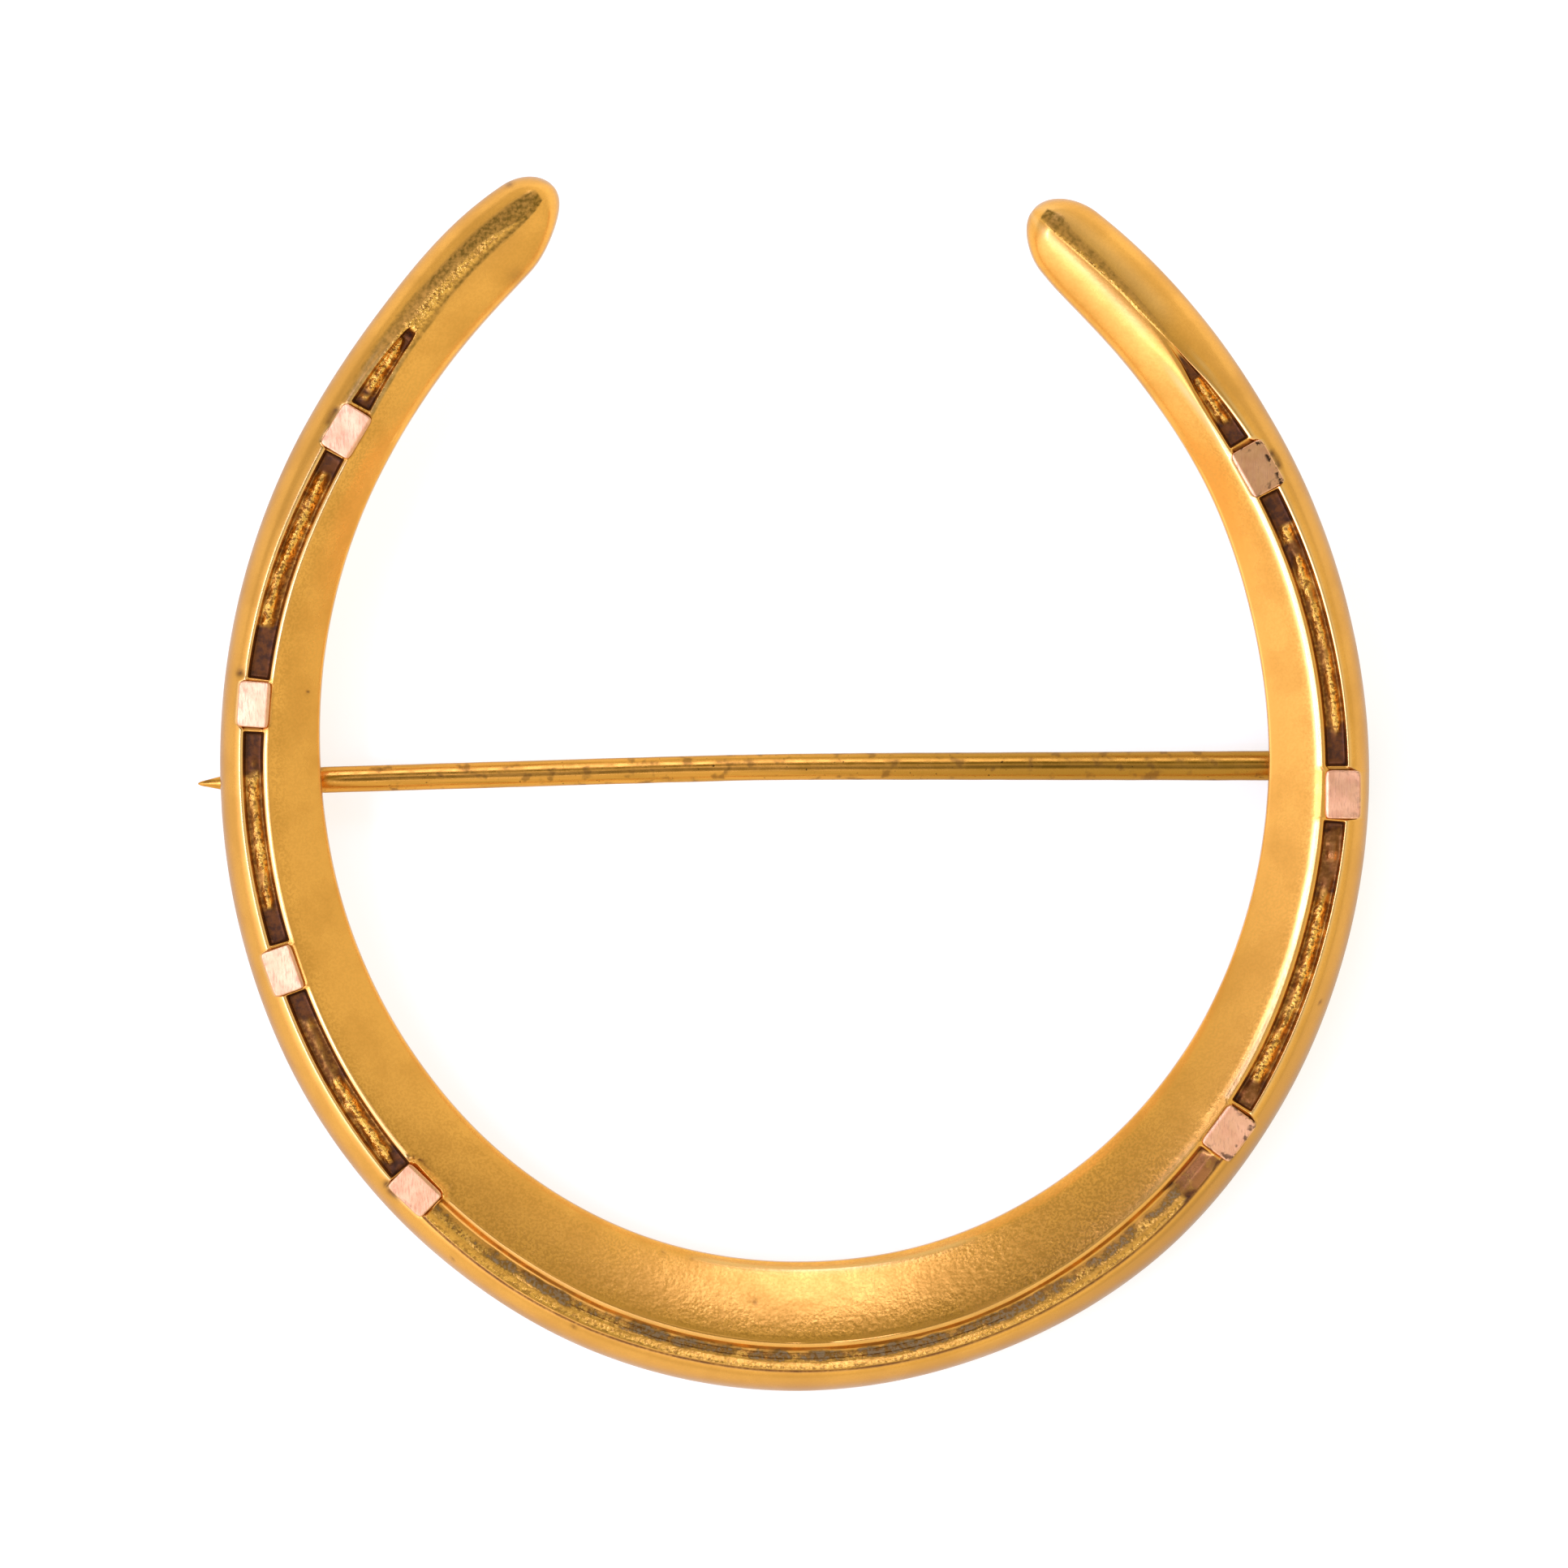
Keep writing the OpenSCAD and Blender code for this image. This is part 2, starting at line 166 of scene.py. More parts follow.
def piece(name: str, skin: Skin, rest: Rest, marks: dict[str, Array] | None = None) -> bpy.types.Object:
    """Makes a smooth-shaded mesh object whose faces point outwards.

    Args:
        name: name of the piece.
        skin: vertices in mm on the brooch's plane, faces of four and faces of three.
        rest: how the plane lies.
        marks: shares from 0 to 1 by attribute name, for the first vertices; the others get 0.

    Returns:
        The object, at the origin, with its place in its mesh.
    """
    verts, quads, fans = skin
    mesh = bpy.data.meshes.new(name)
    mesh.vertices.add(len(verts))
    mesh.vertices.foreach_set("co", rest.lay(verts).astype(np.float32).ravel())
    loops = np.concatenate([quads.ravel(), fans.ravel()])
    starts = np.concatenate([np.arange(len(quads)) * 4, quads.size + np.arange(len(fans)) * 3])
    mesh.loops.add(len(loops))
    mesh.loops.foreach_set("vertex_index", loops.astype(np.int32))
    mesh.polygons.add(len(starts))
    mesh.polygons.foreach_set("loop_start", starts.astype(np.int32))
    mesh.polygons.foreach_set("use_smooth", np.ones(len(starts), bool))
    mesh.update(calc_edges=True)
    mesh.validate()
    for mark, shares in (marks or {}).items():
        full = np.zeros(len(verts), np.float32)
        full[: shares.size] = shares.ravel()
        mesh.attributes.new(mark, "FLOAT", "POINT").data.foreach_set("value", full)
    work = bmesh.new()
    work.from_mesh(mesh)
    bmesh.ops.recalc_face_normals(work, faces=work.faces)
    work.to_mesh(mesh)
    work.free()
    mesh.update()
    made = bpy.data.objects.new(name, mesh)
    bpy.context.scene.collection.objects.link(made)
    return made


def rows_to_skin(rows: Array) -> Skin:
    """Skins a run of closed rows and closes both ends with a fan to a middle point.

    Args:
        rows: points shaped (rows, sides, 3), each row turning the same way.

    Returns:
        Vertices, quads and end triangles.
    """
    count, sides = rows.shape[:2]
    i, j = np.meshgrid(np.arange(count - 1), np.arange(sides), indexing="ij")
    a, b = i * sides + j, i * sides + (j + 1) % sides
    quads = coords(a, b, b + sides, a + sides).reshape(-1, 4)
    verts = np.concatenate([rows.reshape(-1, 3), rows[0].mean(0)[None], rows[-1].mean(0)[None]])
    ring, last, pole = np.arange(sides), (count - 1) * sides, np.full(sides, count * sides)
    after = (ring + 1) % sides
    fans = [coords(after, ring, pole), coords(last + ring, last + after, pole + 1)]
    return verts, quads, np.concatenate(fans)


def joined(parts: list[Skin]) -> Skin:
    """Puts several closed skins into one mesh.

    Args:
        parts: the skins.

    Returns:
        Vertices, quads and triangles of them all.
    """
    start = np.cumsum([0] + [len(p[0]) for p in parts])
    return tuple(
        np.concatenate([p[k] + (start[n] if k else 0) for n, p in enumerate(parts)]) for k in range(3)
    )


def turned(profile: Array, middle: Array, sides: int) -> Array:
    """Turns a profile about an axis along Y: point = middle + (r cos t, x, -r sin t).

    Args:
        profile: pairs of place x along the axis and radius r, in mm.
        middle: a point on the axis.
        sides: number of steps of the angle t.

    Returns:
        Points shaped (sides, pairs, 3).
    """
    t = np.linspace(0, 2 * np.pi, sides, endpoint=False)[:, None]
    x, r = profile.T
    return middle + coords(r * np.cos(t), x, -r * np.sin(t))


def tube(length: float, outer: float, inner: float, middle: Array, chamfer: float = 0.06) -> Skin:
    """A short tube along Y with a bore and rounded mouths: a closed profile turned about its axis.

    Args:
        length, outer, inner: its length and its two radii in mm.
        middle: its middle.
        chamfer: how far its mouths are rounded.

    Returns:
        A closed skin, which needs no end triangles.
    """
    half = length / 2
    t = np.linspace(0, np.pi / 2, 6)
    edge = [half, outer] - chamfer * coords(1 - np.sin(t), 1 - np.cos(t))
    right = np.concatenate([edge, [[half, inner + chamfer], [half - chamfer, inner]]])
    rows = turned(np.concatenate([right[::-1] * [-1, 1], right]), middle, 64)
    sides, width = rows.shape[:2]
    i, j = np.meshgrid(np.arange(sides), np.arange(width), indexing="ij")
    k, n = (i + 1) % sides * width, (j + 1) % width
    quads = coords(i * width + j, i * width + n, k + n, k + j).reshape(-1, 4)
    return rows.reshape(-1, 3), quads, np.zeros((0, 3), int)


def rounded_outline(length: float, width: float, power: float = 6.0, count: int = 72) -> Array:
    """Outline of a block with rounded corners: |x/a|^p + |y/b|^p = 1.

    Args:
        length, width: its size along x and y, twice a and b, in mm.
        power: p, higher for sharper corners.
        count: number of points.

    Returns:
        Points (x, y) in mm.
    """
    turn = np.linspace(0, 2 * np.pi, count, endpoint=False) + np.pi / count
    c, s = np.cos(turn), np.sin(turn)
    x = np.sign(c) * np.abs(c) ** (2 / power) * length / 2
    y = np.sign(s) * np.abs(s) ** (2 / power) * width / 2
    return coords(x, y)


def inset(outline: Array, by: float) -> Array:
    """A convex outline moved inwards by a distance, along its own normals."""
    step = np.roll(outline, -1, 0) - np.roll(outline, 1, 0)
    return outline - unit(coords(step[:, 1], -step[:, 0])) * by


def stacked(rings: list[tuple[Array, float]]) -> Array:
    """Flat outlines, each at its height, as rows of points shaped (rings, sides, 3)."""
    return np.array([coords(*outline.T, z) for outline, z in rings])


def linear(colour: str) -> tuple[float, float, float, float]:
    """An sRGB hex colour as linear red, green, blue and alpha."""
    parts = [int(colour[i : i + 2], 16) / 255 for i in (1, 3, 5)]
    return (*(c / 12.92 if c <= 0.04045 else ((c + 0.055) / 1.055) ** 2.4 for c in parts), 1.0)


def per_metre(size: float) -> float:
    """Scale of a noise texture on metres whose grains are `size` mm across."""
    return 1000.0 / size


# Settings of the nodes that the finishes and the tent are made of
TIMES, PLUS, MINUS, MOST = ({"operation": name} for name in ("MULTIPLY", "ADD", "SUBTRACT", "MAXIMUM"))
OVER = {"data_type": "RGBA", "clamp_factor": True}
SMOOTH = {"interpolation_type": "SMOOTHSTEP"}


def add(tree: bpy.types.NodeTree, kind: str, settings: dict, *feeds: object, out: str = "") -> Socket:
    """Adds a node with its settings and links.

    Args:
        tree: the node tree.
        kind: the node's type, without "ShaderNode".
        settings: properties and input values by name.
        feeds: for its inputs in their order, a socket to link, or a value or hex colour to set.
        out: name of the wanted output, where it isn't the node's first.

    Returns:
        The output's socket.
    """
    node = tree.nodes.new("ShaderNode" + kind)
    for name, value in settings.items():
        if name in node.inputs:
            node.inputs[name].default_value = value
        else:
            setattr(node, name, value)
    for socket, feed in zip([s for s in node.inputs if s.enabled], feeds):
        if isinstance(feed, Socket):
            tree.links.new(feed, socket)
        else:
            socket.default_value = linear(feed) if isinstance(feed, str) else feed
    return node.outputs[out] if out else next(s for s in node.outputs if s.enabled)


@dataclass(frozen=True)
class GoldFinish:
    """Solid gold alloy: its colour, and how its surface was worked.

    Attributes:
        name: the material's name.
        colour: mirror colour of the clean metal.
        shade: a darker tone of the same metal.
        roughness: roughness of the clean surface.
        grain: width in mm of its finer grain; the wider one is 2.6 times as wide.
        grain_height: height in mm of the grain.
        marks: names of the attributes that it reads from the piece.
        edge: colour that tints it at a grazing angle.
    """

    name: str
    colour: str
    shade: str
    roughness: float
    grain: float
    grain_height: float
    marks: tuple[str, ...]
    edge: str = "#dadada"

    def make(self) -> bpy.types.Material:
        """Builds the metal, lays its coats on it in order, and raises its grain.

        Returns:
            The material.
        """
        made = bpy.data.materials.new(self.name)
        made.use_nodes = True
        made.diffuse_color = linear(self.colour)
        tree = made.node_tree
        shader = tree.nodes["Principled BSDF"]
        uniform = {"Base Color": linear(self.colour), "Metallic": 1.0, "Roughness": self.roughness,
                   "Specular Tint": linear(self.edge)}
        for name, value in uniform.items():
            shader.inputs[name].default_value = value
        put = partial(add, tree)
        place = put("TexCoord", {}, out="Object")
        fine, wide = (put("TexNoise", {"Scale": per_metre(size), "Detail": detail}, place)
                      for size, detail in ((self.grain, 2.0), (self.grain * 2.6, 1.0)))
        grain = put("Math", PLUS, put("Math", TIMES, fine, 0.5), put("Math", TIMES, wide, 0.9))
        told = {mark: put("Attribute", {"attribute_name": mark}, out="Fac") for mark in self.marks}
        coats, height, ends = self.worked(put, place, grain, told)
        tone = self.colour
        for share, colour in coats:
            tone = put("Mix", OVER, share, tone, colour)
        raised = put("Bump", {"Strength": 1.0, "Distance": self.grain_height * MM})
        tree.links.new(height, raised.node.inputs["Height"])
        for name, socket in (ends | {"Base Color": tone, "Normal": raised}).items():
            tree.links.new(socket, shader.inputs[name])
        return made

    def worked(self, put: Callable, place: Socket, grain: Socket, told: dict[str, Socket]) -> Worked:
        """How the surface was worked and worn, which each finish says for itself.

        Args:
            put: adds a node, as add() does.
            place: the Object coordinates.
            grain: height of the grain, from 0 to 1.
            told: the piece's marks, by name.

        Returns:
            Coats from the lowest up, each a share and a colour, the surface's height, and what else
            feeds the shader, by the name of the input.
        """
        raise NotImplementedError


@dataclass(frozen=True)
class BloomedGold(GoldFinish):
    """15 carat yellow gold, matted by blooming and worn smooth on its rims, which are painted paler as a
    highlight.

    To the eye it is a soft satin with a fine glitter, orange in the light and olive in the dark. The
    groove holds brown polish residue, grey crust and copper-pink patches, and its floor glitters, its glints
    painted paler. The real grain is some 0.02 mm wide, too fine to show, so it and its glitter are drawn 0.09
    mm wide.

    Attributes:
        cloud, blot, speck, dots, grit: size in mm and detail of its drifts of tone, stains, specks,
            dark dots between the grain, and the groove's rough floor.
        pit, toned, glitter, residue, dried, dark, olive, worn, bed, crust, copper: colours of its coats;
        toned and olive are painted shade, glitter paints glints, and worn paints the rims' highlight.
    """

    name: str = "bloomed_yellow_gold"
    colour: str = "#f8b452"
    shade: str = "#e6a548"
    roughness: float = 0.27
    grain: float = 0.09
    grain_height: float = 0.01
    marks: tuple[str, ...] = (
        "residue", "crust", "copper", "rough", "seam", "rubbed", "matted", "toned", "olive",
    )
    cloud: tuple[float, float] = (1.6, 4.0)
    blot: tuple[float, float] = (0.24, 5.0)
    speck: tuple[float, float] = (0.11, 2.0)
    dots: tuple[float, float] = (0.085, 1.0)
    grit: tuple[float, float] = (0.09, 3.0)
    pit: str = "#9c6c1e"
    # Painted shade: the flanks, most at the lower right, and the lower left face are painted in this darker
    # gold
    toned: str = "#c08a42"
    # Painted highlight: the rough floor's glints are painted in this paler yellow
    glitter: str = "#ffcb59"
    # Residue, and painted shade on the groove's walls and in the pockets beside the heads
    residue: str = "#855524"
    dried: str = "#7a4a26"
    dark: str = "#553726"
    # Painted shade: the olive along the tips' bands
    olive: str = "#7c5e20"
    # Painted highlight: the worn rims are painted in this paler gold
    worn: str = "#fccf88"
    bed: str = "#84602a"
    crust: str = "#94805a"
    copper: str = "#c4824a"

    def worked(self, put: Callable, place: Socket, grain: Socket, told: dict[str, Socket]) -> Worked:
        """Painted shade, the rims worn smooth and painted paler as a highlight, and then what lies in the
        groove, by the band's own marks.

        Args:
            put, place, grain, told: as GoldFinish gives them.

        Returns:
            Its coats, its height, and what makes its metal and its roughness uneven.
        """
        cloud, speck, dots, grit = (
            put("TexNoise", {"Scale": per_metre(size), "Detail": detail}, place)
            for size, detail in (self.cloud, self.speck, self.dots, self.grit)
        )
        size, detail = self.blot
        blot = put("TexNoise", {"Scale": per_metre(size), "Detail": detail, "Roughness": 0.65}, place)
        ragged = put("Math", TIMES, put("Math", MINUS, blot, 0.5), 2.2)
        patched, crusted = (put("Math", PLUS, told[mark], ragged) for mark in ("copper", "crust"))
        drift, dotted, olive_shade, grimy, dirty, broken, flecked, core, patch, bedded, near_patch, near_crust = (
            put("MapRange", SMOOTH, *limits) for limits in (
                (cloud, 0.4, 0.65, 0.0, 0.8), (dots, 0.6, 0.4), (speck, 0.7, 0.3, 0.6, 1.0),
                (speck, 0.52, 0.4, 0.0, 0.85), (blot, 0.36, 0.6), (speck, 0.3, 0.6, 0.6, 1.0),
                (speck, 0.6, 0.42, 0.0, 0.65), (crusted, 0.45, 0.75), (patched, 0.3, 0.8, 0.25, 1.0),
                (crusted, 0.2, 0.65), (told["copper"], 0.05, 0.3), (told["crust"], 0.05, 0.25),
            )
        )
        pitted, rubbed, olive_shade, glitter, grimy, patch, broken, covered = (
            put("Math", TIMES, *pair) for pair in (
                (dotted, told["matted"]), (told["rubbed"], 0.6), (told["olive"], olive_shade), (told["rough"], 0.5),
                (told["rough"], grimy), (near_patch, patch), (told["residue"], broken), (near_crust, bedded),
            )
        )
        flecks = put("Math", TIMES, put("Math", TIMES, covered, flecked), core)
        coats = [
            (drift, self.shade), (put("Math", TIMES, pitted, 0.33), self.pit), (rubbed, self.worn),
            (told["toned"], self.toned), (olive_shade, self.olive), (glitter, self.glitter),
            (grimy, self.residue), (patch, self.copper), (broken, self.residue),
            (put("Math", TIMES, covered, 0.85), self.bed), (flecks, self.crust),
            # Dried residue on the floor, and the pits and the bow's valley line darkened
            (told["seam"], put("Mix", OVER, dirty, self.dark, self.dried)),
        ]
        dull = put("Math", MOST, put("Math", TIMES, told["seam"], 0.15), put("Math", TIMES, flecks, 0.9))
        matt = put("MapRange", SMOOTH, cloud, 0.3, 0.7, self.roughness - 0.03, self.roughness + 0.04)
        matt = put("Math", MINUS, matt, put("Math", TIMES, told["rubbed"], 0.12))
        for share, amount in ((flecks, 0.5), (broken, 0.25), (told["olive"], 0.25)):
            matt = put("Math", PLUS, matt, put("Math", TIMES, share, amount))
        coarse = put("Math", TIMES, put("Math", TIMES, grit, told["rough"]), 3.5)
        height = put("Math", PLUS, put("Math", TIMES, grain, told["matted"]), coarse)
        return coats, height, {"Metallic": put("Math", MINUS, 1.0, dull), "Roughness": matt}


@dataclass(frozen=True)
class BrushedRoseGold(GoldFinish):
    """9 carat rose gold, filed flat and polished: pink, softly mirror-like, with fine random scuffs.

    The scuffs of a fine file are some 0.01 mm wide, too fine to show, so they are drawn 0.05 mm wide.

    Attributes:
        scuff, patch, spot: size in mm and detail of its scuffs, faint patches and worn spots.
        scratch, spotted, rim: colours of its coats.
    """

    name: str = "brushed_rose_gold"
    colour: str = "#f2b681"
    shade: str = "#e3a070"
    roughness: float = 0.3
    grain: float = 0.06
    grain_height: float = 0.0015
    marks: tuple[str, ...] = ("worn", "seam")
    scuff: tuple[float, float] = (0.05, 3.0)
    patch: tuple[float, float] = (0.35, 3.0)
    spot: tuple[float, float] = (0.22, 4.0)
    scratch: str = "#b07c5c"
    spotted: str = "#4a3426"
    # Residue and painted shade on the head's sunk side
    rim: str = "#6a3f28"

    def worked(self, put: Callable, place: Socket, grain: Socket, told: dict[str, Socket]) -> Worked:
        """Scuffs, worn spots, and a dark rim of residue and painted shade where the head's side sinks into
        its pocket.

        Args:
            put, place, grain, told: as GoldFinish gives them.

        Returns:
            Its coats, its height and its uneven roughness.
        """
        filed = put("Mapping", {"Rotation": (0.0, 0.0, 0.9), "Scale": (1.0, 0.12, 1.0)}, place)
        scuff, patch, spot = (
            put("TexNoise", {"Scale": per_metre(size), "Detail": detail}, at)
            for at, (size, detail) in ((filed, self.scuff), (place, self.patch), (place, self.spot))
        )
        faint, scratched, spotted, matt = (put("MapRange", SMOOTH, *limits) for limits in (
            (patch, 0.4, 0.7, 0.0, 0.6), (scuff, 0.52, 0.66, 0.0, 0.35), (spot, 0.5, 0.58),
            (scuff, 0.3, 0.7, self.roughness - 0.02, self.roughness + 0.06),
        ))
        coats = [(faint, self.shade), (scratched, self.scratch),
                 (put("Math", TIMES, told["worn"], spotted), self.spotted), (told["seam"], self.rim)]
        return coats, put("Math", PLUS, grain, scuff), {"Roughness": matt}


@dataclass(frozen=True)
class DrawnGoldWire(GoldFinish):
    """Drawn yellow gold wire and tube: lengthwise draw lines, duller and browner than the band.

    Real draw lines are some 0.02 mm wide, too fine to show, so they are drawn 0.1 mm wide.

    Attributes:
        lines, stain, speck: size in mm and detail of its draw lines, stains and specks.
        brown, black, crease: colours of its coats.
    """

    name: str = "drawn_gold_wire"
    colour: str = "#e2a042"
    shade: str = "#b3802d"
    roughness: float = 0.25
    grain: float = 0.05
    grain_height: float = 0.002
    marks: tuple[str, ...] = ("seam",)
    lines: tuple[float, float] = (0.1, 3.0)
    stain: tuple[float, float] = (0.5, 5.0)
    speck: tuple[float, float] = (0.12, 2.0)
    brown: str = "#7a5326"
    black: str = "#3c2410"
    # Residue and painted shade in the crease
    crease: str = "#3a2a12"

    def worked(self, put: Callable, place: Socket, grain: Socket, told: dict[str, Socket]) -> Worked:
        """Draw lines, brown specks, the crease darkened with residue and painted shade, and painted shade
        towards the hinge.

        Args:
            put, place, grain, told: as GoldFinish gives them.

        Returns:
            Its coats, its height and its uneven roughness.
        """
        drawn = put("Mapping", {"Scale": (0.03, 1.0, 1.0)}, place)
        lines, stain, speck = (
            put("TexNoise", {"Scale": per_metre(size), "Detail": detail}, at)
            for at, (size, detail) in ((drawn, self.lines), (place, self.stain), (place, self.speck))
        )
        along = put("SeparateXYZ", {}, place)
        streaked, hinge_side_shade, stained, specked, matt = (put("MapRange", SMOOTH, *limits) for limits in (
            (lines, 0.4, 0.65, 0.0, 0.5), (along, -3 * MM, 9 * MM), (stain, 0.56, 0.68, 0.0, 0.6),
            (speck, 0.69, 0.75, 0.0, 0.8), (stain, 0.3, 0.7, self.roughness - 0.05, self.roughness + 0.1),
        ))
        # Painted shade darkens the wire towards the hinge
        coats = [(streaked, self.shade), (hinge_side_shade, self.shade), (stained, self.brown),
                 (specked, self.black), (put("Math", TIMES, told["seam"], 0.55), self.crease)]
        return coats, put("Math", PLUS, grain, put("Math", TIMES, lines, 2.0)), {"Roughness": matt}


class Column(IntEnum):
    """Columns of the band's stations."""

    ANGLE = 0
    LINE = 1
    OUTER = 2
    INNER = 3
    STRIP = 4


class Tint(Enum):
    """Colours of the studio's light: a warm dark side takes most blue away."""

    PLAIN = (1.0, 1.0, 1.0)
    DAY = (0.97, 1.0, 2.1)
    LAMP = (0.97, 1.0, 1.35)
    DUSK = (1.0, 1.0, 1.2)


class Floor(Enum):
    """What lies on the groove's floor."""

    ROUGH = "rough"
    CRUST = "crust"
    COPPER = "copper"


# The band's sections, by the columns above, in degrees and mm. STRIP is the narrow strip along the
# inner edge.
STATIONS = np.array([
    [-157.6, 19.75, 1.00, 1.20, 0.10], [-150, 19.30, 1.05, 1.70, 0.10], [-138, 18.40, 1.05, 1.70, 0.10],
    [-126, 17.60, 1.25, 1.55, 0.08], [-108, 17.20, 1.10, 1.85, 0.06], [-90, 17.00, 1.05, 2.10, 0.06],
    [-72, 17.05, 1.10, 2.25, 0.08], [-54, 17.40, 1.10, 2.50, 0.12], [-36, 17.85, 1.05, 2.70, 0.15],
    [-18, 18.15, 1.15, 2.80, 0.18], [0, 18.35, 1.10, 2.95, 0.20], [18, 18.30, 1.00, 2.90, 0.25],
    [36, 17.95, 1.10, 2.70, 0.30], [54, 17.45, 1.10, 2.40, 0.25], [72, 17.05, 1.10, 2.20, 0.12],
    [90, 16.95, 1.05, 2.10, 0.06], [108, 17.05, 1.05, 1.95, 0.06], [126, 17.35, 1.20, 1.60, 0.08],
    [138, 17.75, 1.35, 1.45, 0.10], [150, 18.50, 1.30, 1.40, 0.10], [157.1, 19.10, 1.15, 1.05, 0.10],
])

# Stretches of the groove's floor: from this angle, to this angle, what lies there, how thickly.
# Dried residue lies wherever none of them does.
STRETCHES = [
    (-137.7, -131.2, Floor.ROUGH, 0.9), (-122.2, -105.3, Floor.ROUGH, 1.0), (-90.3, -75.3, Floor.ROUGH, 0.65),
    (-63.4, -56.5, Floor.ROUGH, 0.4), (-56.5, -46.5, Floor.ROUGH, 0.85), (-40.0, 42.5, Floor.CRUST, 1.0),
    (42.5, 47.5, Floor.COPPER, 1.0), (53.2, 56.0, Floor.COPPER, 0.9), (56.0, 77.5, Floor.ROUGH, 0.75),
    (77.5, 84.3, Floor.COPPER, 0.85), (80.6, 82.2, Floor.ROUGH, 0.6), (94.5, 113.0, Floor.ROUGH, 0.7),
    (113.0, 114.6, Floor.COPPER, 0.7), (114.6, 117.0, Floor.ROUGH, 0.9), (128.8, 134.0, Floor.ROUGH, 1.0),
]

# Where the groove's worn lips stand highest: angle, inner lip, outer lip, in degrees and mm
LIPS = np.array([
    [-139.4, -0.33, -0.08], [-138.6, -0.44, 0.06], [-137.5, -0.47, 0.10], [-134, -0.48, 0.24],
    [-130, -0.48, 0.36], [-116, -0.48, 0.39], [-100, -0.48, 0.40], [-92, -0.43, 0.38], [-75, -0.43, 0.37],
    [-62, -0.48, 0.38], [-46, -0.52, 0.40], [-36, -0.53, 0.44], [-28, -0.50, 0.50], [-20, -0.42, 0.52],
    [-10, -0.40, 0.46], [8, -0.42, 0.44], [18, -0.43, 0.42], [28, -0.50, 0.43], [38, -0.53, 0.46],
    [60, -0.44, 0.40], [80, -0.44, 0.40], [91, -0.46, 0.42], [105, -0.46, 0.37], [120, -0.50, 0.36],
    [127, -0.52, 0.33], [130, -0.49, 0.30], [133.5, -0.39, 0.25], [136.5, -0.22, 0.16], [139.4, -0.14, 0.12],
])

# Bands along the tips, brushed rougher, whose olive is painted shade: angle, inner edge, where its dark half
# starts, outer edge, darkness
CREST = np.array([
    [-156.0, -0.18, -0.20, 0.30, 1.0], [-155.0, -0.34, -0.36, 0.36, 1.0], [-153.5, -0.42, -0.28, 0.36, 1.0],
    [-150, -0.46, -0.03, 0.37, 1.0], [-145, -0.48, 0.00, 0.39, 0.9], [-140, -0.54, 0.05, 0.44, 0.7],
    [-134, -0.55, 0.16, 0.54, 0.5], [-129, -0.54, 0.28, 0.56, 0.4], [-127, -0.50, 0.48, 0.49, 0.3],
    [138, 0.06, 0.08, 0.12, 0.25], [142, -0.04, 0.02, 0.19, 0.42], [148, -0.12, 0.00, 0.20, 0.5],
    [153, -0.16, -0.04, 0.26, 0.65], [154.6, -0.18, -0.12, 0.44, 0.8], [156.2, -0.14, -0.10, 0.44, 0.8],
])

# Nail heads: angle, middle outward, length, width, turn, lean outward, lean onward, wear, and the gold
# sills left standing before and after the head
HEADS = {
    "nail_left_1": (-127.1, -0.02, 1.52, 1.05, 3, 7.2, 4, 0.2, 0.12, 0.05),
    "nail_left_2": (-97.0, 0.03, 1.44, 1.00, -1, 8, 3.5, 0.1, 0.10, 0.14),
    "nail_left_3": (-68.7, 0.13, 1.46, 1.00, -1, 8.5, 2, 0.1, 0.12, 0.05),
    "nail_left_4": (-42.2, 0.02, 1.46, 1.05, -3, 5, 1, 0.2, 0.04, 0.05),
    "nail_right_3": (50.1, 0.12, 1.52, 1.12, 2, 1.5, -4, 0.8, 0.08, 0.17),
    "nail_right_2": (87.5, 0.19, 1.52, 1.12, -2, -5.5, 0, 0.2, 0.08, 0.14),
    "nail_right_1": (123.2, -0.01, 1.58, 1.12, 0, 2, 2, 1.0, 0.06, 0.20),
}

# Small pits and nicks in the gold: angle, offset across the band, radius, depth, in degrees and mm
PITS = np.array([
    [-4.4, -1.66, 0.06, 0.05], [-21.6, 0.62, 0.05, 0.05], [-35.0, 0.80, 0.04, 0.03],
    [-15.9, -2.55, 0.04, 0.03], [-12.5, -2.60, 0.04, 0.03], [9.4, 0.72, 0.04, 0.03],
    [-121.4, -0.62, 0.05, 0.04], [-99.0, -1.60, 0.05, 0.03], [-63.0, -1.40, 0.04, 0.02],
    [66.0, 0.80, 0.04, 0.03], [104.0, -1.20, 0.04, 0.02], [-110.0, -1.00, 0.04, 0.02],
    [-100.1, 0.56, 0.13, 0.06], [-44.5, 0.55, 0.12, 0.04], [-43.8, 0.60, 0.12, 0.05],
    [-43.1, 0.59, 0.10, 0.04], [-128.4, 0.58, 0.10, 0.03], [-127.8, 0.60, 0.12, 0.04],
    [-127.2, 0.61, 0.10, 0.03], [-154.4, 0.90, 0.10, 0.02], [-149.6, -1.50, 0.28, 0.008],
    [122.5, 0.62, 0.10, 0.03], [123.1, 0.63, 0.12, 0.04], [123.9, 0.62, 0.10, 0.03],
    [-119.0, 0.05, 0.09, 0.02],
])


